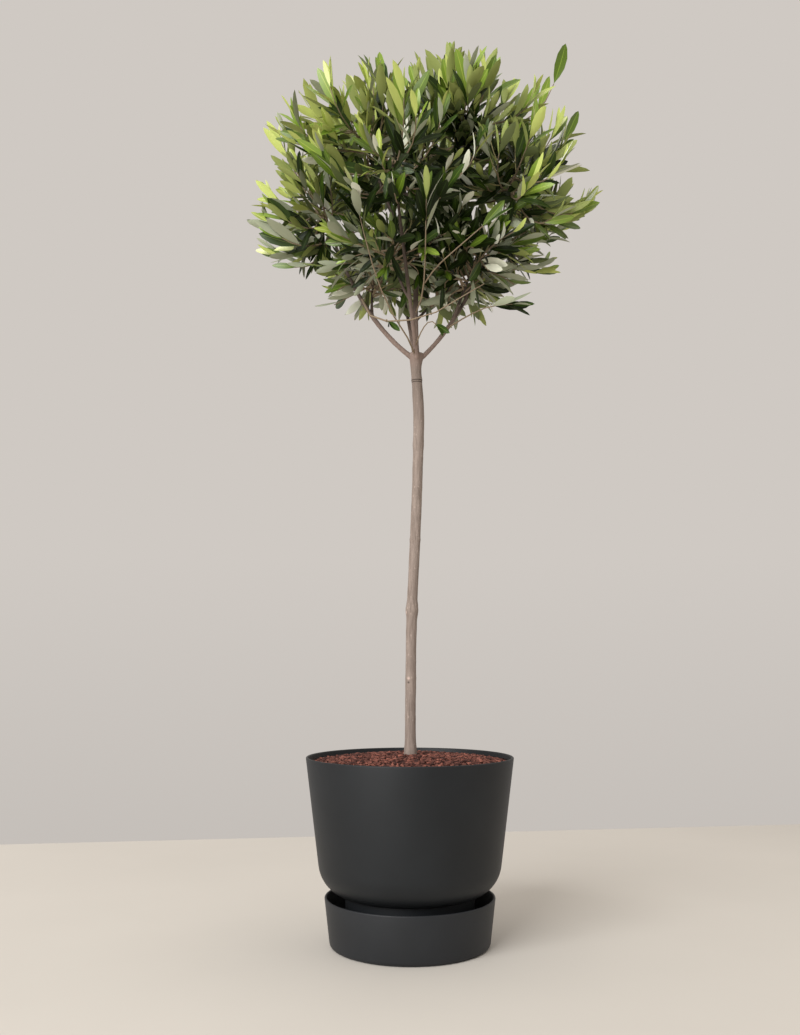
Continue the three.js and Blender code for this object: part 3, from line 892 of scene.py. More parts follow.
# Twigs that show in front, low in the crown, in millimetres: the mass, the radius and the way
FRONT_TWIGS = [
    (
        "middle_2",
        1.1,
        [
            (9, -5, 712), (4, -24, 722), (-11, -50, 737), (-28, -66, 760),
            (-45, -103, 795), (-61, -155, 846),
        ],
    ),
    ("middle_2", 1.1, [(8, -44, 758), (16, -72, 768), (18, -108, 794), (18, -166, 848)]),
    ("middle_3", 0.9, [(18, -88, 779), (30, -104, 792), (53, -124, 806), (84, -142, 827)]),
    (
        "lower_1",
        1.4,
        [
            (-60, -14, 786), (-50, -30, 756), (-28, -52, 743), (-9, -62, 740),
            (13, -72, 741), (42, -84, 748), (66, -98, 762), (88, -104, 772),
        ],
    ),
    ("lower_2", 1.1, [(46, 4, 752), (70, -30, 757), (97, -54, 763), (126, -62, 762)]),
    ("lower_2", 0.9, [(8, -20, 724), (16, -42, 738), (25, -60, 743), (32, -71, 733)]),
    ("lower_1", 0.8, [(-28, -52, 743), (-29, -60, 744), (-26, -68, 738)]),
]

# Where a front twig's leaves begin, how far out they may reach, and how young and how lit they are
# at most
FRONT_LEAFY_FROM = 0.6
FRONT_REACH = 1.45
FRONT_YOUTH_AND_LIGHT = 0.05


class Mass:
    """One mass of foliage: its way out from the crown's centre, its seat and its own space."""

    def __init__(self, name, way, seat):
        self.name = name
        self.way = way
        self.seat = seat
        self.targets = []
        self.stem = None
        self.normals = None
        self.offsets = None

    def wall_off(self, masses):
        """Sets the walls half way to every other mass."""
        seats = np.array([other.seat for other in masses if other is not self])
        self.normals = unit(seats - self.seat)
        self.offsets = np.sum(self.normals * (seats + self.seat) / 2, axis=1)

    def holds(self, points, margin):
        """Whether the points keep margin inside the mass's own space."""
        reach = np.atleast_2d(points) @ self.normals.T
        return bool(np.all(reach <= self.offsets - margin))


class Limb:
    """A trunk or bough: its line and its radius at each share of the length."""

    def __init__(self, name, line, radius_at):
        self.name = name
        self.line = line
        self.radius_at = radius_at


def tapered(root, tip):
    """The radius of a limb that tapers evenly."""
    return lambda along: root + (tip - root) * along


class Tree:
    """The limbs, and the masses of foliage that they carry, by the same rule as the solids."""

    def __init__(self, olive):
        self.crown, self.wood, self.leaf = olive.crown, olive.wood, olive.leaf
        self.centre = np.array([self.crown.centre_x, 0.0, self.crown.centre_z])
        self.masses = self.plan_masses()
        self.limbs = [self.trunk()]
        self.grow_boughs()
        self.share_targets()
        shares = np.linspace(0, 1, 41)
        points = [limb.line.at(shares) for limb in self.limbs]
        radii = [[limb.radius_at(s) for s in shares] for limb in self.limbs]
        self.limb_points = np.concatenate(points)
        self.limb_radii = np.concatenate(radii)

    def reach(self, ways):
        """Distance from the crown's centre to its outline along each way."""
        ways = np.atleast_2d(ways)
        upright = np.where(ways[:, 2] > 0, self.crown.above, self.crown.below)
        flat = np.hypot(ways[:, 0], ways[:, 1]) / self.crown.across
        return 1 / np.hypot(flat, ways[:, 2] / upright)

    def share_of_reach(self, points):
        """How far out points lie, as shares of the way to the outline."""
        offsets = np.atleast_2d(points) - self.centre
        distance = np.linalg.norm(offsets, axis=1)
        return distance / self.reach(offsets / distance[:, None])

    def allowed(self, mass, way):
        """The outline's own share of the reach: it bulges over a mass and falls off beside it."""
        return 1 + self.crown.bulge - self.crown.hollow * (1 - float(way @ mass.way))

    def clear_of_limbs(self, points, keep):
        """Whether the points keep clear of every trunk and bough."""
        offsets = np.atleast_2d(points)[:, None] - self.limb_points
        distance = np.linalg.norm(offsets, axis=2)
        return bool(np.all(distance > self.limb_radii + keep))

    def has_room(self, mass, points, margin, keep):
        """Whether points lie margin inside a mass's own space and keep clear of every limb."""
        return mass.holds(points, margin) and self.clear_of_limbs(points, keep)

    def plan_masses(self):
        """One mass on top and three rings of masses below it, each in its own space."""
        masses = []
        for name, number, first, elevation, seat_share in RINGS:
            for i in range(number):
                way = direction(first + 360 * i / number, elevation)
                seat = self.centre + way * self.reach(way)[0] * seat_share
                masses.append(Mass(f"{name}_{i + 1}", way, seat))
        for mass in masses:
            mass.wall_off(masses)
        return masses

    def mass_named(self, name):
        """The mass with that name."""
        return next(mass for mass in self.masses if mass.name == name)

    def trunk(self):
        """The slim bare trunk with its flare, knots and fork."""
        line = through(*millimetres(*TRUNK_LINE).T)
        heights, spreads, extras = millimetres(*TRUNK_SWELLINGS).T

        def radius_at(along):
            z = line.at(along)[2]
            swellings = extras * np.exp(-(((z - heights) / spreads) ** 2))
            return self.wood.trunk_radius + float(np.sum(swellings))

        return Limb("trunk", line, radius_at)

    def grow_bough(self, name, line, mass, root_radius):
        """A bough up to where it enters its mass, and the mass's stem on from there."""
        entry = self.entry_share(line, mass)
        bough = Limb(name, line.stretch(0, entry), tapered(root_radius, self.wood.bough_tip))
        self.limbs.append(bough)
        mass.stem = line.stretch(entry - 0.01, 1)

    def entry_share(self, line, mass):
        """Where a bough enters its mass, as a share of the way to the mass's seat."""
        least_length, deepest, begins, inside = 0.026, 0.8, 0.36, 0.004
        for along in np.arange(least_length / line.length, deepest, 0.02):
            point = line.at(along)
            if mass.holds(point, inside) and self.share_of_reach(point)[0] > begins:
                return float(along)
        return deepest

    def grow_boughs(self):
        """The five main boughs from the fork, and the side boughs that leave them."""
        for name, start, bend, carries, radius in MAIN_BOUGHS:
            mass = self.mass_named(carries)
            self.grow_bough(name, arch(start, bend, mass.seat), mass, radius)
        for carries, parent, along in SIDE_BOUGHS:
            mass = self.mass_named(carries)
            limb = next(limb for limb in self.limbs if limb.name == parent)
            start, onward = limb.line.at(along), limb.line.onward(along)
            offset = mass.seat - start
            outward = unit(offset - onward * (offset @ onward))
            leaving = turned_from(onward, outward, SIDE_BOUGH_ANGLE)
            bend = start + leaving * SIDE_BOUGH_BOW * np.linalg.norm(offset)
            radius = min(SIDE_BOUGH_RADIUS, SIDE_BOUGH_SHARE * limb.radius_at(along))
            line = arch(start, bend, mass.seat)
            self.grow_bough(f"side_{carries}", line, mass, radius)

    def share_targets(self):
        """Ways out spread evenly over three shells, each given to the mass nearest to its end."""
        golden = math.pi * (3 - math.sqrt(5))
        crown = self.crown
        # Each shell: how many shoots end on it, and how far out it lies
        shells = [(crown.outer_shoots, 1.0), (crown.middle_shoots, 0.76), (crown.inner_shoots, 0.5)]
        targets = [(direction(a, e), reach, size) for a, e, reach, size in STRAY_SHOOTS]
        for number, reach in shells:
            for i in range(number):
                z = 1 - 2 * (i + 0.5) / number
                flat = math.sqrt(1 - z * z)
                way = np.array([math.cos(golden * i) * flat, math.sin(golden * i) * flat, z])
                targets.append((way, reach, 0))
        seats = np.array([mass.seat for mass in self.masses])
        for target in targets:
            end = self.centre + target[0] * self.reach(target[0])[0]
            nearest = int(np.argmin(np.linalg.norm(seats - end, axis=1)))
            self.masses[nearest].targets.append(target)


def through(places, heights):
    """A smooth line through places to the right of the axis, at heights that rise steadily."""
    steps_between = 12
    fine = np.linspace(heights[0], heights[-1], steps_between * len(heights))
    slopes = np.gradient(places, heights)
    index = np.clip(np.searchsorted(heights, fine) - 1, 0, len(heights) - 2)
    span = heights[index + 1] - heights[index]
    t = (fine - heights[index]) / span
    x = (
        (2 * t**3 - 3 * t**2 + 1) * places[index]
        + (t**3 - 2 * t**2 + t) * span * slopes[index]
        + (3 * t**2 - 2 * t**3) * places[index + 1]
        + (t**3 - t**2) * span * slopes[index + 1]
    )
    return Line(np.stack([x, np.zeros_like(x), fine], -1))


# The looks of a twig, in the order of the twig colours
STEM, SHOOT, SIDE_TWIG = 0, 1, 2

# How thick a side twig is at its root and its tip, as shares of a shoot
SIDE_ROOT_SHARE = 0.7
SIDE_TIP_SHARE = 0.8


class Twig:
    """A stem, shoot or side twig: its line, its radii and which of the twig colours it takes."""

    def __init__(self, line, root_radius, tip_radius, look):
        self.line = line
        self.root_radius = root_radius
        self.tip_radius = tip_radius
        self.look = look


def rise_of(way):
    """How far a tip that goes out one way turns up towards the light."""
    most, when_level = 1.7, 0.75
    return most * min(1.0, max(0.0, when_level + way[2]))


def grow_shoot(tree, mass, target, order, random):
    """One shoot from the mass's stem out to its target, or nothing where none fits."""
    attempts, wobble_step, shortest, bow = 8, 0.12, 0.022, 0.45
    way_out, share_out, _ = target
    stray = share_out > 1
    start = mass.stem.at(0.97 - 0.8 * order)
    for attempt in range(attempts):
        wobble = random.uniform(-0.5, 0.5, 3)
        way = unit(way_out + wobble_step * (attempt + (0 if stray else 1)) * wobble)
        out = share_out * (1 if stray else tree.allowed(mass, way) * random.uniform(0.9, 1.07))
        end = tree.centre + way * tree.reach(way)[0] * out
        last = unit(way + UP * rise_of(way))
        tip = end - last * 0.5 * tree.leaf.length
        long = np.linalg.norm(tip - start)
        if long < shortest:
            continue
        bend = tip - last * long * bow
        line = arch(start, bend, tip, 15)
        samples = line.at(np.linspace(0.08, 1, 12))
        if tree.has_room(mass, samples, margin=0.002, keep=0.0015):
            return line
    return None


def grow_side_twigs(tree, mass, shoot, share_out, random):
    """Finer twigs that leave a shoot on alternate sides, within the same reach."""
    attempts, shorter, furthest_down = 5, 0.13, 0.82
    outwards, upwards, past = 0.4, 0.6, 0.01
    made = []
    roll = random.uniform(0, 2 * math.pi)
    down = random.uniform(0.016, 0.026)
    while down < furthest_down * shoot.length:
        along = 1 - down / shoot.length
        start, onward = shoot.at(along), shoot.onward(along)
        full = random.uniform(0.042, 0.075)
        for attempt in range(attempts):
            across = across_of(onward, roll + random.uniform(-0.5, 0.5) * (1 + attempt))
            leaving = turned_from(onward, across, random.uniform(0.45, 0.75))
            long = full * (1 - shorter * attempt)
            outward = unit(start - tree.centre)
            last = unit(leaving + outwards * outward + upwards * rise_of(outward) * UP)
            tip = start + (0.55 * leaving + 0.45 * last) * long
            end = tip + last * 0.7 * tree.leaf.length
            most = share_out * tree.allowed(mass, unit(end - tree.centre))
            within = tree.share_of_reach(end)[0] <= most + past
            line = arch(start, start + leaving * 0.5 * long, tip, 9)
            samples = line.at(np.linspace(0.25, 1, 5))
            if within and tree.has_room(mass, samples, margin=0.001, keep=0.001):
                made.append(line)
                break
        roll += math.pi / 2 + random.uniform(-0.3, 0.3)
        down += random.uniform(0.015, 0.024)
    return made


# How the leaves of a shoot stand, pair by pair from the tip: spread from the shoot and size.
LEAF_PAIRS = [(0.2, 0.74), (0.32, 0.96), (0.44, 1.06), (0.56, 1.0), (0.72, 0.9), (0.88, 0.8)]

# How much older each pair of leaves is than the pair above it, and the last pair that ages
PAIR_AGE = 0.2
OLDEST_PAIR = 4
# How far leaves may reach past their mass's space, and past the outline where they point up
PAST_MASS = 0.008
PAST_OUTLINE = 0.10


class Leaf:
    """A leaf: its foot, its way, its face, its size, and how young it is together with the painted
    light or shade its colour takes.
    """

    def __init__(self, foot, way, face, size, youth_and_light):
        self.foot = foot
        self.way = way
        self.face = face
        self.size = size
        self.youth_and_light = youth_and_light


def grow_leaves(tree, mass, line, share_out, youth_and_light, random):
    """Pairs of leaves along a twig, each pair a quarter turn from the last."""
    attempts, second_below, face_spread = 4, 0.002, 0.55
    made = []
    sizes = tree.leaf
    roll = random.uniform(0, 2 * math.pi)
    vigour = random.uniform(0.7, 1.12) * (1 if share_out >= 1 else sizes.side_share)
    pairs = 1 + int(max(0.0, line.length - sizes.bare_foot) / sizes.pair_step)
    for pair in range(pairs):
        spread, size = LEAF_PAIRS[min(pair, len(LEAF_PAIRS) - 1)]
        for side in (0, 1):
            down = pair * sizes.pair_step + side * second_below
            along = max(0.0, 1 - down / line.length)
            foot, onward = line.at(along), line.onward(along)
            for attempt in range(attempts):
                turn = roll + side * math.pi + random.uniform(-0.2, 0.2) * (1 + 2 * attempt)
                across = across_of(onward, turn)
                angle = spread * random.uniform(0.75, 1.25)
                way = turned_from(onward, across, angle)
                light = unit(unit(foot - tree.centre) + UP)
                face = onward * math.sin(angle) - across * math.cos(angle)
                face = face + sizes.faces_light * light + face_spread * random.normal(size=3)
                face = unit(face - way * (face @ way))
                full = size * vigour * random.uniform(0.8, 1.12)
                reach = sizes.length * full
                ends = np.array([foot + way * 0.5 * reach, foot + way * reach])
                most = share_out * tree.allowed(mass, unit(ends[1] - tree.centre))
                past = PAST_OUTLINE if way[2] > 0 else 0.0
                within = tree.share_of_reach(ends[1])[0] <= most + past
                if within and tree.has_room(mass, ends, margin=-PAST_MASS, keep=0.002):
                    age = PAIR_AGE * min(pair, OLDEST_PAIR)
                    made.append(Leaf(foot, way, face, full, youth_and_light - age))
                    break
        roll += math.pi / 2
    return made


def lone_leaf(line, size):
    """The one leaf of a stray shoot: it goes on from the tip, and its face shows in front."""
    roll, youth_and_light = 0.25, 0.2
    onward = line.onward(1.0)
    face = across_of(onward, roll)
    if face[1] > 0:
        face = -face
    return Leaf(line.at(1.0), onward, face, size, youth_and_light)


# Painted light and shade: parts of the crown whose leaves take lighter or darker shades: middle,
# reach and how much.
PAINTED_LIGHT_AND_SHADE_PATCHES = [
    (millimetres(-42, -100, 945), 0.065, 0.5),
    (millimetres(-42, -100, 853), 0.060, 0.25),
    (millimetres(165, -60, 875), 0.080, 0.5),
    (millimetres(48, -110, 940), 0.070, -0.6),
    (millimetres(45, -30, 1050), 0.080, -0.55),
    (millimetres(135, -30, 1015), 0.070, -0.42),
]


def spray_youth_and_light(tree, line, random):
    """How young a spray's leaves are, with painted light and shade in the same value: higher and
    further out counts as younger and more lit.
    """
    by_height, by_side, by_reach = 0.36, 0.1, 1.5
    middling, furthest = 0.6, 0.95
    tip = line.at(1.0)
    out = min(furthest, tree.share_of_reach(tip)[0])
    height = (tip[2] - tree.centre[2]) / tree.crown.above
    sunny = (tree.centre[0] - tip[0]) / tree.crown.across
    patches = sum(
        extra * math.exp(-(np.linalg.norm(tip - middle) / reach) ** 2)
        for middle, reach, extra in PAINTED_LIGHT_AND_SHADE_PATCHES
    )
    # Painted light: leaves high up, on the left and in the lit patches take lighter shades, as if
    # lit from above and the left; the dark patches are painted shade. Height also stands for the
    # real youth of the top shoots.
    lit = by_height * height + by_side * sunny + patches
    # Sprays further in take darker shades: partly older leaves, partly painted shade inside the
    # crown.
    return lit + by_reach * (out - middling) + random.uniform(-0.2, 0.28)


def grow_mass(tree, mass, seed):
    """The twigs and the leaves of one mass."""
    random = np.random.default_rng(seed)
    wood = tree.wood
    side_root, side_tip = SIDE_ROOT_SHARE * wood.shoot_root, SIDE_TIP_SHARE * wood.shoot_tip
    twigs = [Twig(mass.stem, wood.bough_tip, wood.stem_tip, STEM)]
    leaves = []
    ordered = sorted(mass.targets, key=lambda target: -float(target[0] @ mass.way))
    for i, target in enumerate(ordered):
        shoot = grow_shoot(tree, mass, target, i / len(ordered), random)
        if shoot is None:
            continue
        youth_and_light = spray_youth_and_light(tree, shoot, random)
        twigs.append(Twig(shoot, wood.shoot_root, wood.shoot_tip, SHOOT))
        if target[2]:
            leaves.append(lone_leaf(shoot, target[2]))
        else:
            leaves += grow_leaves(tree, mass, shoot, max(1.0, target[1]), youth_and_light, random)
        for line in grow_side_twigs(tree, mass, shoot, wood.side_reach, random):
            twigs.append(Twig(line, side_root, side_tip, SIDE_TWIG))
            side_youth_and_light = 0.5 * youth_and_light + 0.5 * spray_youth_and_light(tree, line, random)
            leaves += grow_leaves(tree, mass, line, wood.side_reach, side_youth_and_light, random)
    for carries, radius, points in FRONT_TWIGS:
        if carries == mass.name:
            line = Line(smooth_path(millimetres(*points)))
            twigs.append(Twig(line, radius / 1000, wood.shoot_tip, SHOOT))
            youth_and_light = min(FRONT_YOUTH_AND_LIGHT, spray_youth_and_light(tree, line, random))
            leafy = line.stretch(FRONT_LEAFY_FROM, 1)
            leaves += grow_leaves(tree, mass, leafy, FRONT_REACH, youth_and_light, random)
    return twigs, leaves


# Limbs as meshes


def frames_along(line, shares):
    """Upright, unit-size places for rings along a line, turned as little as possible."""
    onward = line.onward(shares[0])
    side = across_of(onward, 0)
    places = []
    for along in shares:
        onward = line.onward(along)
        side = unit(side - onward * (side @ onward))
        other = np.cross(onward, side)
        columns = np.eye(4)
        columns[:3, 0], columns[:3, 1], columns[:3, 2] = side, other, onward
        columns[:3, 3] = line.at(along)
        places.append(columns)
    return places


def ring_places(line, radius_at, shares):
    """The ring places with each ring's radius as its scale."""
    places = []
    for place, along in zip(frames_along(line, shares), shares):
        radius = radius_at(along)
        places.append(Matrix((place @ np.diag([radius, radius, radius, 1.0])).tolist()))
    return places


def draw_limb(shape, limb, sides, rings):
    """Draws a closed round limb out along its line, ring by ring."""
    places = ring_places(limb.line, limb.radius_at, np.linspace(0, 1, rings + 1))
    first = bmesh.ops.create_circle(
        shape, cap_ends=True, radius=1, segments=sides, matrix=places[0]
    )
    drawn = set(first["verts"])
    lines = [edge for edge in shape.edges if set(edge.verts) <= drawn]
    for before, place in zip(places, places[1:]):
        made = bmesh.ops.extrude_edge_only(shape, edges=lines)["geom"]
        verts = [part for part in made if isinstance(part, bmesh.types.BMVert)]
        drawn = set(verts)
        edges = [part for part in made if isinstance(part, bmesh.types.BMEdge)]
        lines = [edge for edge in edges if set(edge.verts) <= drawn]
        bmesh.ops.transform(shape, matrix=place @ before.inverted(), verts=verts)
    bmesh.ops.contextual_create(shape, geom=lines)


def bark_relief(point):
    """Height of the bark's relief at a point: slow lumps and fine upright folds."""
    lump_scale, lump_height, lump_share = 75, 0.45, 0.65
    fold_scale, fold_height, fold_share = 620, 85, 0.5
    lumps = noise.noise(Vector((point.x, point.y, lump_height * point.z)) * lump_scale)
    folded = Vector((point.x * fold_scale, point.y * fold_scale, point.z * fold_height))
    folds = noise.noise(folded)
    return lump_share * lumps + fold_share * folds


def wood_mesh(tree):
    """The trunk and the boughs grown together into one skin, with the bark's relief on it."""
    shape = bmesh.new()
    for limb in tree.limbs:
        if limb.name == "trunk":
            draw_limb(shape, limb, sides=32, rings=200)
        else:
            draw_limb(shape, limb, sides=20, rings=24)
    bmesh.ops.recalc_face_normals(shape, faces=shape.faces)
    rough = bpy.data.objects.new("wood_rough", mesh_of(shape, "wood_rough"))
    bpy.context.scene.collection.objects.link(rough)
    skin = rough.modifiers.new("grown_together", "REMESH")
    skin.mode = "VOXEL"
    skin.voxel_size = tree.wood.fineness
    skin.use_smooth_shade = True
    grown = rough.evaluated_get(bpy.context.evaluated_depsgraph_get())
    mesh = bpy.data.meshes.new_from_object(grown)
    bpy.data.objects.remove(rough)
    shape = bmesh.new()
    shape.from_mesh(mesh)
    bmesh.ops.smooth_vert(
        shape, verts=shape.verts, factor=0.5, use_axis_x=True, use_axis_y=True, use_axis_z=True
    )
    shape.normal_update()
    for vert in shape.verts:
        vert.co += vert.normal * tree.wood.relief * bark_relief(vert.co)
    mesh.clear_geometry()
    shape.to_mesh(mesh)
    shape.free()
    mesh.name = "trunk_and_boughs"
    mesh.shade_smooth()
    return mesh


def grown_masses():
    """Each mass with its twigs and leaves. The same settings always grow the same ones."""
    tree = Tree(settings())
    seed = settings().crown.seed
    return [(mass, *grow_mass(tree, mass, seed + i)) for i, mass in enumerate(tree.masses)]


class OLIVE_OT_wood(bpy.types.Operator):
    """Grow the trunk and the boughs together into one skin of bark"""

    bl_idname = "olive.wood"
    bl_label = "Trunk and boughs"

    def execute(self, context):
        tree = Tree(settings())
        nodes = [limb.name for limb in tree.limbs]
        piece("trunk_and_boughs", wood_mesh(tree), [bark()], nodes)
        return {"FINISHED"}


# Twigs


def twigs_mesh(name, twigs):
    """All twigs of a mass as one mesh of slim five-sided tubes with closed ends."""
    sides, rings = 5, 6
    angles = np.arange(sides) * 2 * math.pi / sides
    circle = np.stack([np.cos(angles), np.sin(angles), np.zeros(sides), np.ones(sides)], -1)
    shares = np.linspace(0, 1, rings + 1)
    near = np.arange(sides)
    far = (near + 1) % sides
    band = np.stack([near, far, far + sides, near + sides], -1)
    walls = np.concatenate([band + ring * sides for ring in range(rings)])
    corners, faces, looks = [], [], []
    for number, twig in enumerate(twigs):
        radius_at = tapered(twig.root_radius, twig.tip_radius)
        places = [np.array(m) for m in ring_places(twig.line, radius_at, shares)]
        corners.append(np.concatenate([(circle @ place.T)[:, :3] for place in places]))
        start = number * sides * (rings + 1)
        faces += (walls + start).tolist()
        faces.append((near[::-1] + start).tolist())
        faces.append((near + start + sides * rings).tolist())
        looks += [twig.look] * (len(walls) + 2)
    mesh = bpy.data.meshes.new(name)
    mesh.from_pydata(np.concatenate(corners).tolist(), [], faces)
    mesh.shade_smooth()
    mesh.polygons.foreach_set("material_index", np.array(looks, dtype=np.int32))
    return mesh


class OLIVE_OT_twigs(bpy.types.Operator):
    """Grow each mass's stem, shoots and side twigs"""

    bl_idname = "olive.twigs"
    bl_label = "Twigs"

    def execute(self, context):
        looks = twig_colours()
        for mass, twigs, _ in grown_masses():
            name = f"twigs_{mass.name}"
            piece(name, twigs_mesh(name, twigs), looks, [f"foliage_{mass.name}"])
        return {"FINISHED"}


# Leaves

# The parts of a leaf that take colours of their own
UPPER, RIB, UNDER = 0, 1, 2

LEAF_STATIONS = [0.0, 0.06, 0.2, 0.42, 0.68, 0.9, 1.0]


def leaf_half_width(along):
    """Half the width of a leaf at a share of its length, for a leaf one wide."""
    if along <= 0 or along >= 1:
        return 0.0
    stalk, blade_start, blade_length = 0.06, 0.04, 0.96
    lean, fullness = 1.14, 0.66
    blade = max(0.0, (along - blade_start) / blade_length)
    return max(stalk, 0.5 * math.sin(math.pi * blade**lean) ** fullness)


def leaf_template():
    """A leaf one long and one wide: corners, triangles and each triangle's part of the leaf.

    Its upper side has a narrow rib between two halves, and both sides meet at the edge.
    """
    shape = bmesh.new()
    steps = len(LEAF_STATIONS) - 1
    rib = 0.07
    columns = {True: [-1, -rib, rib, 1], False: [-1, 0, 1]}
    for upper, across in columns.items():
        grid = bmesh.ops.create_grid(
            shape, x_segments=steps, y_segments=len(across) - 1, size=0.5
        )["verts"]
        for vert in grid:
            station = LEAF_STATIONS[round((vert.co.x + 0.5) * steps)]
            at = across[round((vert.co.y + 0.5) * (len(across) - 1))]
            middle = 0.5 * math.sin(math.pi * station) ** 0.5
            level = upper and abs(at) < 1
            thick = middle if level else (1 - abs(at)) * middle
            vert.co = (station, at * leaf_half_width(station), thick if upper else -thick)
        if not upper:
            faces = {face for vert in grid for face in vert.link_faces}
            bmesh.ops.reverse_faces(shape, faces=list(faces))
    bmesh.ops.remove_doubles(shape, verts=shape.verts, dist=1e-4)
    bmesh.ops.triangulate(shape, faces=shape.faces)
    corners, triangles = template_of(shape)
    shape.normal_update()
    upward = np.array([face.normal.z > 0 for face in shape.faces])
    shape.free()
    off_middle = np.abs(corners[triangles, 1]).max(axis=1)
    parts = np.where(upward, np.where(off_middle < 0.5 * rib + 1e-6, RIB, UPPER), UNDER)
    return corners, triangles, parts


# Where most leaves show their palest undersides: the middle of that region and how far it reaches
PALE_MIDDLE = millimetres(50, -130, 812)
PALE_REACH = 0.15
# The height below which undersides turn silvery, and how fast
SILVER_FROM = 0.95
SILVER_REACH = 0.14
# The odds of a palest and of a silvery underside: the least, and how much more where most are
PALE_LEAST, PALE_MORE = 0.035, 0.65
SILVER_LEAST, SILVER_MORE = 0.06, 0.5
# How youth with painted light deals out colours: its spread, its value at the darkest shade, and how
# many shades for one
YOUTH_AND_LIGHT_SPREAD = 0.13
DARKEST_YOUTH_AND_LIGHT = -0.35
SHADES_FOR_ONE = 4.6
# The least and the most of each leaf's width, fold, bow, sweep and twist
LEAF_RANGES = [(0.82, 1.12), (0.12, 0.42), (-0.07, 0.2), (-0.06, 0.06), (-0.45, 0.45)]


def leaf_places(leaves):
    """Each leaf's foot and its ways along, across and up, as arrays."""
    feet = np.array([leaf.foot for leaf in leaves])
    ways = np.array([leaf.way for leaf in leaves])
    ups = np.array([leaf.face for leaf in leaves])
    return feet, ways, np.cross(ups, ways), ups


def dealt_looks(leaves, feet, parts, random):
    """Each triangle's material number: by the leaf's youth and painted light, and for undersides by
    its place too.
    """
    number, last = len(leaves), len(UPPER_SIDES) - 1
    youth_and_light = np.array([leaf.youth_and_light for leaf in leaves]) + random.normal(0, YOUTH_AND_LIGHT_SPREAD, number)
    upper = np.clip(((youth_and_light - DARKEST_YOUTH_AND_LIGHT) * SHADES_FOR_ONE).astype(int), 0, last)
    nearness = 1 - np.linalg.norm(feet - PALE_MIDDLE, axis=1) / PALE_REACH
    lowness = (SILVER_FROM - feet[:, 2]) / SILVER_REACH
    pale = PALE_LEAST + PALE_MORE * np.clip(nearness, 0, 1)
    silver = pale + SILVER_LEAST + SILVER_MORE * np.clip(lowness, 0, 1)
    draw = random.uniform(0, 1, number)
    palest, silvery, young = (UNDERSIDES.index(f"under_{n}") for n in ("pale", "silver", "young"))
    by_youth_and_light = np.clip((upper + 1) // 2, 0, young)
    under = np.select([draw < pale, draw < silver], [palest, silvery], by_youth_and_light)
    rib = np.minimum(upper + 1, last)
    return np.stack([upper, rib, under + len(UPPER_SIDES)])[parts].T.ravel()


def leaves_mesh(name, leaves, sizes, seed):
    """All leaves of a mass as one mesh, each one bowed, folded and twisted a little."""
    random = np.random.default_rng(seed)
    corners, triangles, parts = leaf_template()
    along, side, height = corners.T
    feet, ways, sides, ups = leaf_places(leaves)
    number = len(leaves)
    size = np.array([leaf.size for leaf in leaves])[:, None]
    width, fold, bow, sweep, twist = (
        random.uniform(least, most, (number, 1)) for least, most in LEAF_RANGES
    )
    long = sizes.length * size
    out = side * (sizes.width * size * width)
    turn = twist * along
    lift = fold * np.abs(out) + height * sizes.thickness - bow * long * along**2
    crosswise = out * np.cos(turn) + sweep * long * along**2
    upright = lift + out * np.sin(turn)
    shapes = (
        feet[:, None]
        + ways[:, None] * (along * long)[..., None]
        + sides[:, None] * crosswise[..., None]
        + ups[:, None] * upright[..., None]
    )
    looks = dealt_looks(leaves, feet, parts, random)
    return joined_mesh(name, shapes.reshape(-1, 3), copies_of(triangles, corners, number), looks)


class OLIVE_OT_leaves(bpy.types.Operator):
    """Set pairs of leaves on every twig, their colours dealt out spray by spray"""

    bl_idname = "olive.leaves"
    bl_label = "Leaves"

    def execute(self, context):
        olive = context.scene.olive
        looks = leaf_colours()
        for i, (mass, _, leaves) in enumerate(grown_masses()):
            name = f"leaves_{mass.name}"
            mesh = leaves_mesh(name, leaves, olive.leaf, olive.crown.seed + 50 + i)
            piece(name, mesh, looks, [f"foliage_{mass.name}"])
        return {"FINISHED"}


# Stage


def floor_material(looks):
    """Pale warm floor with a faint grain."""
    base = tuple(looks.floor)
    made = material("floor", base, roughness=0.8, specular=0.2)
    mottle(made, base, scale=3.0, detail=3.0, shades=[(0.35, 0.97), (0.65, 1.0)])
    return made


def build_floor(looks):
    """A wide flat floor that ends a little behind the plant, slightly askew."""
    half, askew = 4.0, math.radians(8.5)
    shape = bmesh.new()
    bmesh.ops.create_grid(shape, x_segments=1, y_segments=1, size=half)
    bmesh.ops.translate(shape, verts=shape.verts, vec=(0, looks.floor_depth - half, 0))
    bmesh.ops.rotate(
        shape,
        verts=shape.verts,
        cent=(0, looks.floor_depth, 0),
        matrix=Matrix.Rotation(askew, 3, "Z"),
    )
    floor = bpy.data.objects.new("floor", mesh_of(shape, "floor"))
    floor.data.materials.append(floor_material(looks))
    bpy.context.scene.collection.objects.link(floor)


def times(made, first, second):
    """The product of the first outputs of two nodes."""
    product = calculation(made, "ShaderNodeMath", "MULTIPLY")
    for entry, factor in zip(product.inputs, (first, second)):
        made.node_tree.links.new(factor.outputs[0], entry)
    return product


def build_surroundings(looks):
    """Soft pale light all round, brighter overhead and dimmer from in front."""
    world = bpy.data.worlds.new("surroundings")
    world.use_nodes = True
    backdrop = world.node_tree.nodes["Background"]
    backdrop.inputs["Color"].default_value = (*looks.surroundings, 1.0)
    place = node(world, "ShaderNodeTexCoord")
    parts = node(world, "ShaderNodeSeparateXYZ")
    join(world, place, "Generated", parts, "Vector")
    above = fading(world, parts, "Z", start=0.62, end=0.85, low=1.0, high=looks.overhead)
    foot = fading(world, parts, "Z", start=-0.17, end=0.1, low=0.89)
    front = fading(world, parts, "Y", start=-0.8, end=-0.3, low=looks.in_front)
    light = times(world, times(world, above, foot), front)
    join(world, light, "Value", backdrop, "Strength")
    return world


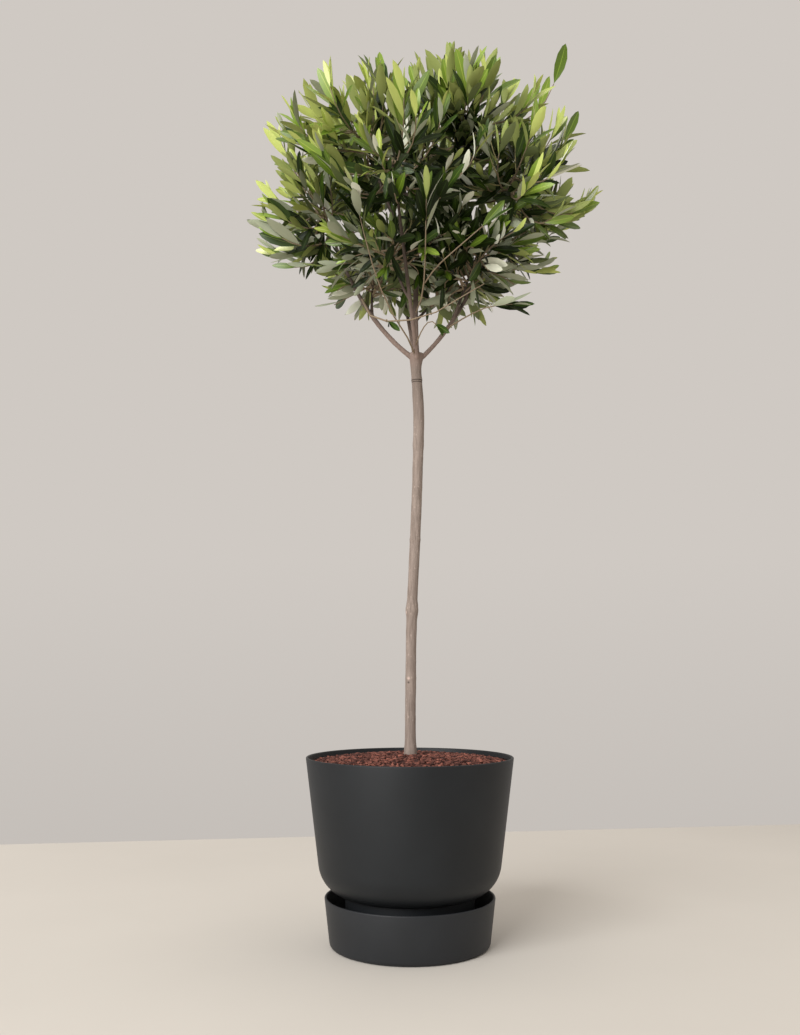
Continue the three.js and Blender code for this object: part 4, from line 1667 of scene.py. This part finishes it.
def soft_lamp(name, place, size, power):
    """A wide square lamp that faces the plant's trunk."""
    middle = Vector((0, 0, 0.6))
    lamp = bpy.data.lights.new(name, "AREA")
    lamp.size = size
    lamp.energy = power
    made = bpy.data.objects.new(name, lamp)
    made.location = place
    made.rotation_euler = (Vector(place) - middle).to_track_quat("Z", "Y").to_euler()
    bpy.context.scene.collection.objects.link(made)


def build_camera():
    """The photograph's view: low, close, and tilted up a little."""
    tilt_up = 8.15
    lens = bpy.data.cameras.new("camera")
    lens.lens = 35
    lens.sensor_width = 36
    made = bpy.data.objects.new("camera", lens)
    made.location = millimetres(-11.8, -1244, 329)
    made.rotation_euler = (math.radians(90 + tilt_up), 0, 0)
    bpy.context.scene.collection.objects.link(made)
    bpy.context.scene.camera = made


class OLIVE_OT_stage(bpy.types.Operator):
    """Lay the floor and set the light and the camera"""

    bl_idname = "olive.stage"
    bl_label = "Stage"

    def execute(self, context):
        looks = context.scene.olive.stage
        build_floor(looks)
        context.scene.world = build_surroundings(looks)
        soft_lamp("key", place=(-2.5, -3.6, 2.5), size=3.2, power=looks.key_power)
        soft_lamp("fill", place=(1.8, -1.2, 1.2), size=1.5, power=looks.fill_power)
        build_camera()
        context.scene.view_settings.view_transform = "Standard"
        return {"FINISHED"}


# Panel and registration

OPERATORS = [
    OLIVE_OT_planter,
    OLIVE_OT_soil,
    OLIVE_OT_wood,
    OLIVE_OT_twigs,
    OLIVE_OT_leaves,
    OLIVE_OT_stage,
]


class OLIVE_PT_panel(bpy.types.Panel):
    """The pieces of the plant, in the sidebar"""

    bl_label = "Potted Olive Tree"
    bl_idname = "OLIVE_PT_panel"
    bl_space_type = "VIEW_3D"
    bl_region_type = "UI"
    bl_category = "Olive"

    def draw(self, context):
        for operator in OPERATORS:
            self.layout.operator(operator.bl_idname)


CLASSES = [
    PlanterSizes,
    SoilSizes,
    WoodSizes,
    CrownSizes,
    LeafSizes,
    LeafColours,
    StageLooks,
    OliveSettings,
    *OPERATORS,
    OLIVE_PT_panel,
]


def register():
    """Adds the classes and the plant's settings."""
    for each in CLASSES:
        bpy.utils.register_class(each)
    bpy.types.Scene.olive = bpy.props.PointerProperty(type=OliveSettings)


def unregister():
    """Takes the settings and the classes away again."""
    del bpy.types.Scene.olive
    for each in reversed(CLASSES):
        bpy.utils.unregister_class(each)


def main():
    """Builds every piece in order."""
    register()
    bpy.ops.olive.stage()
    bpy.ops.olive.planter()
    bpy.ops.olive.soil()
    bpy.ops.olive.wood()
    bpy.ops.olive.twigs()
    bpy.ops.olive.leaves()


if __name__ == "__main__":
    main()
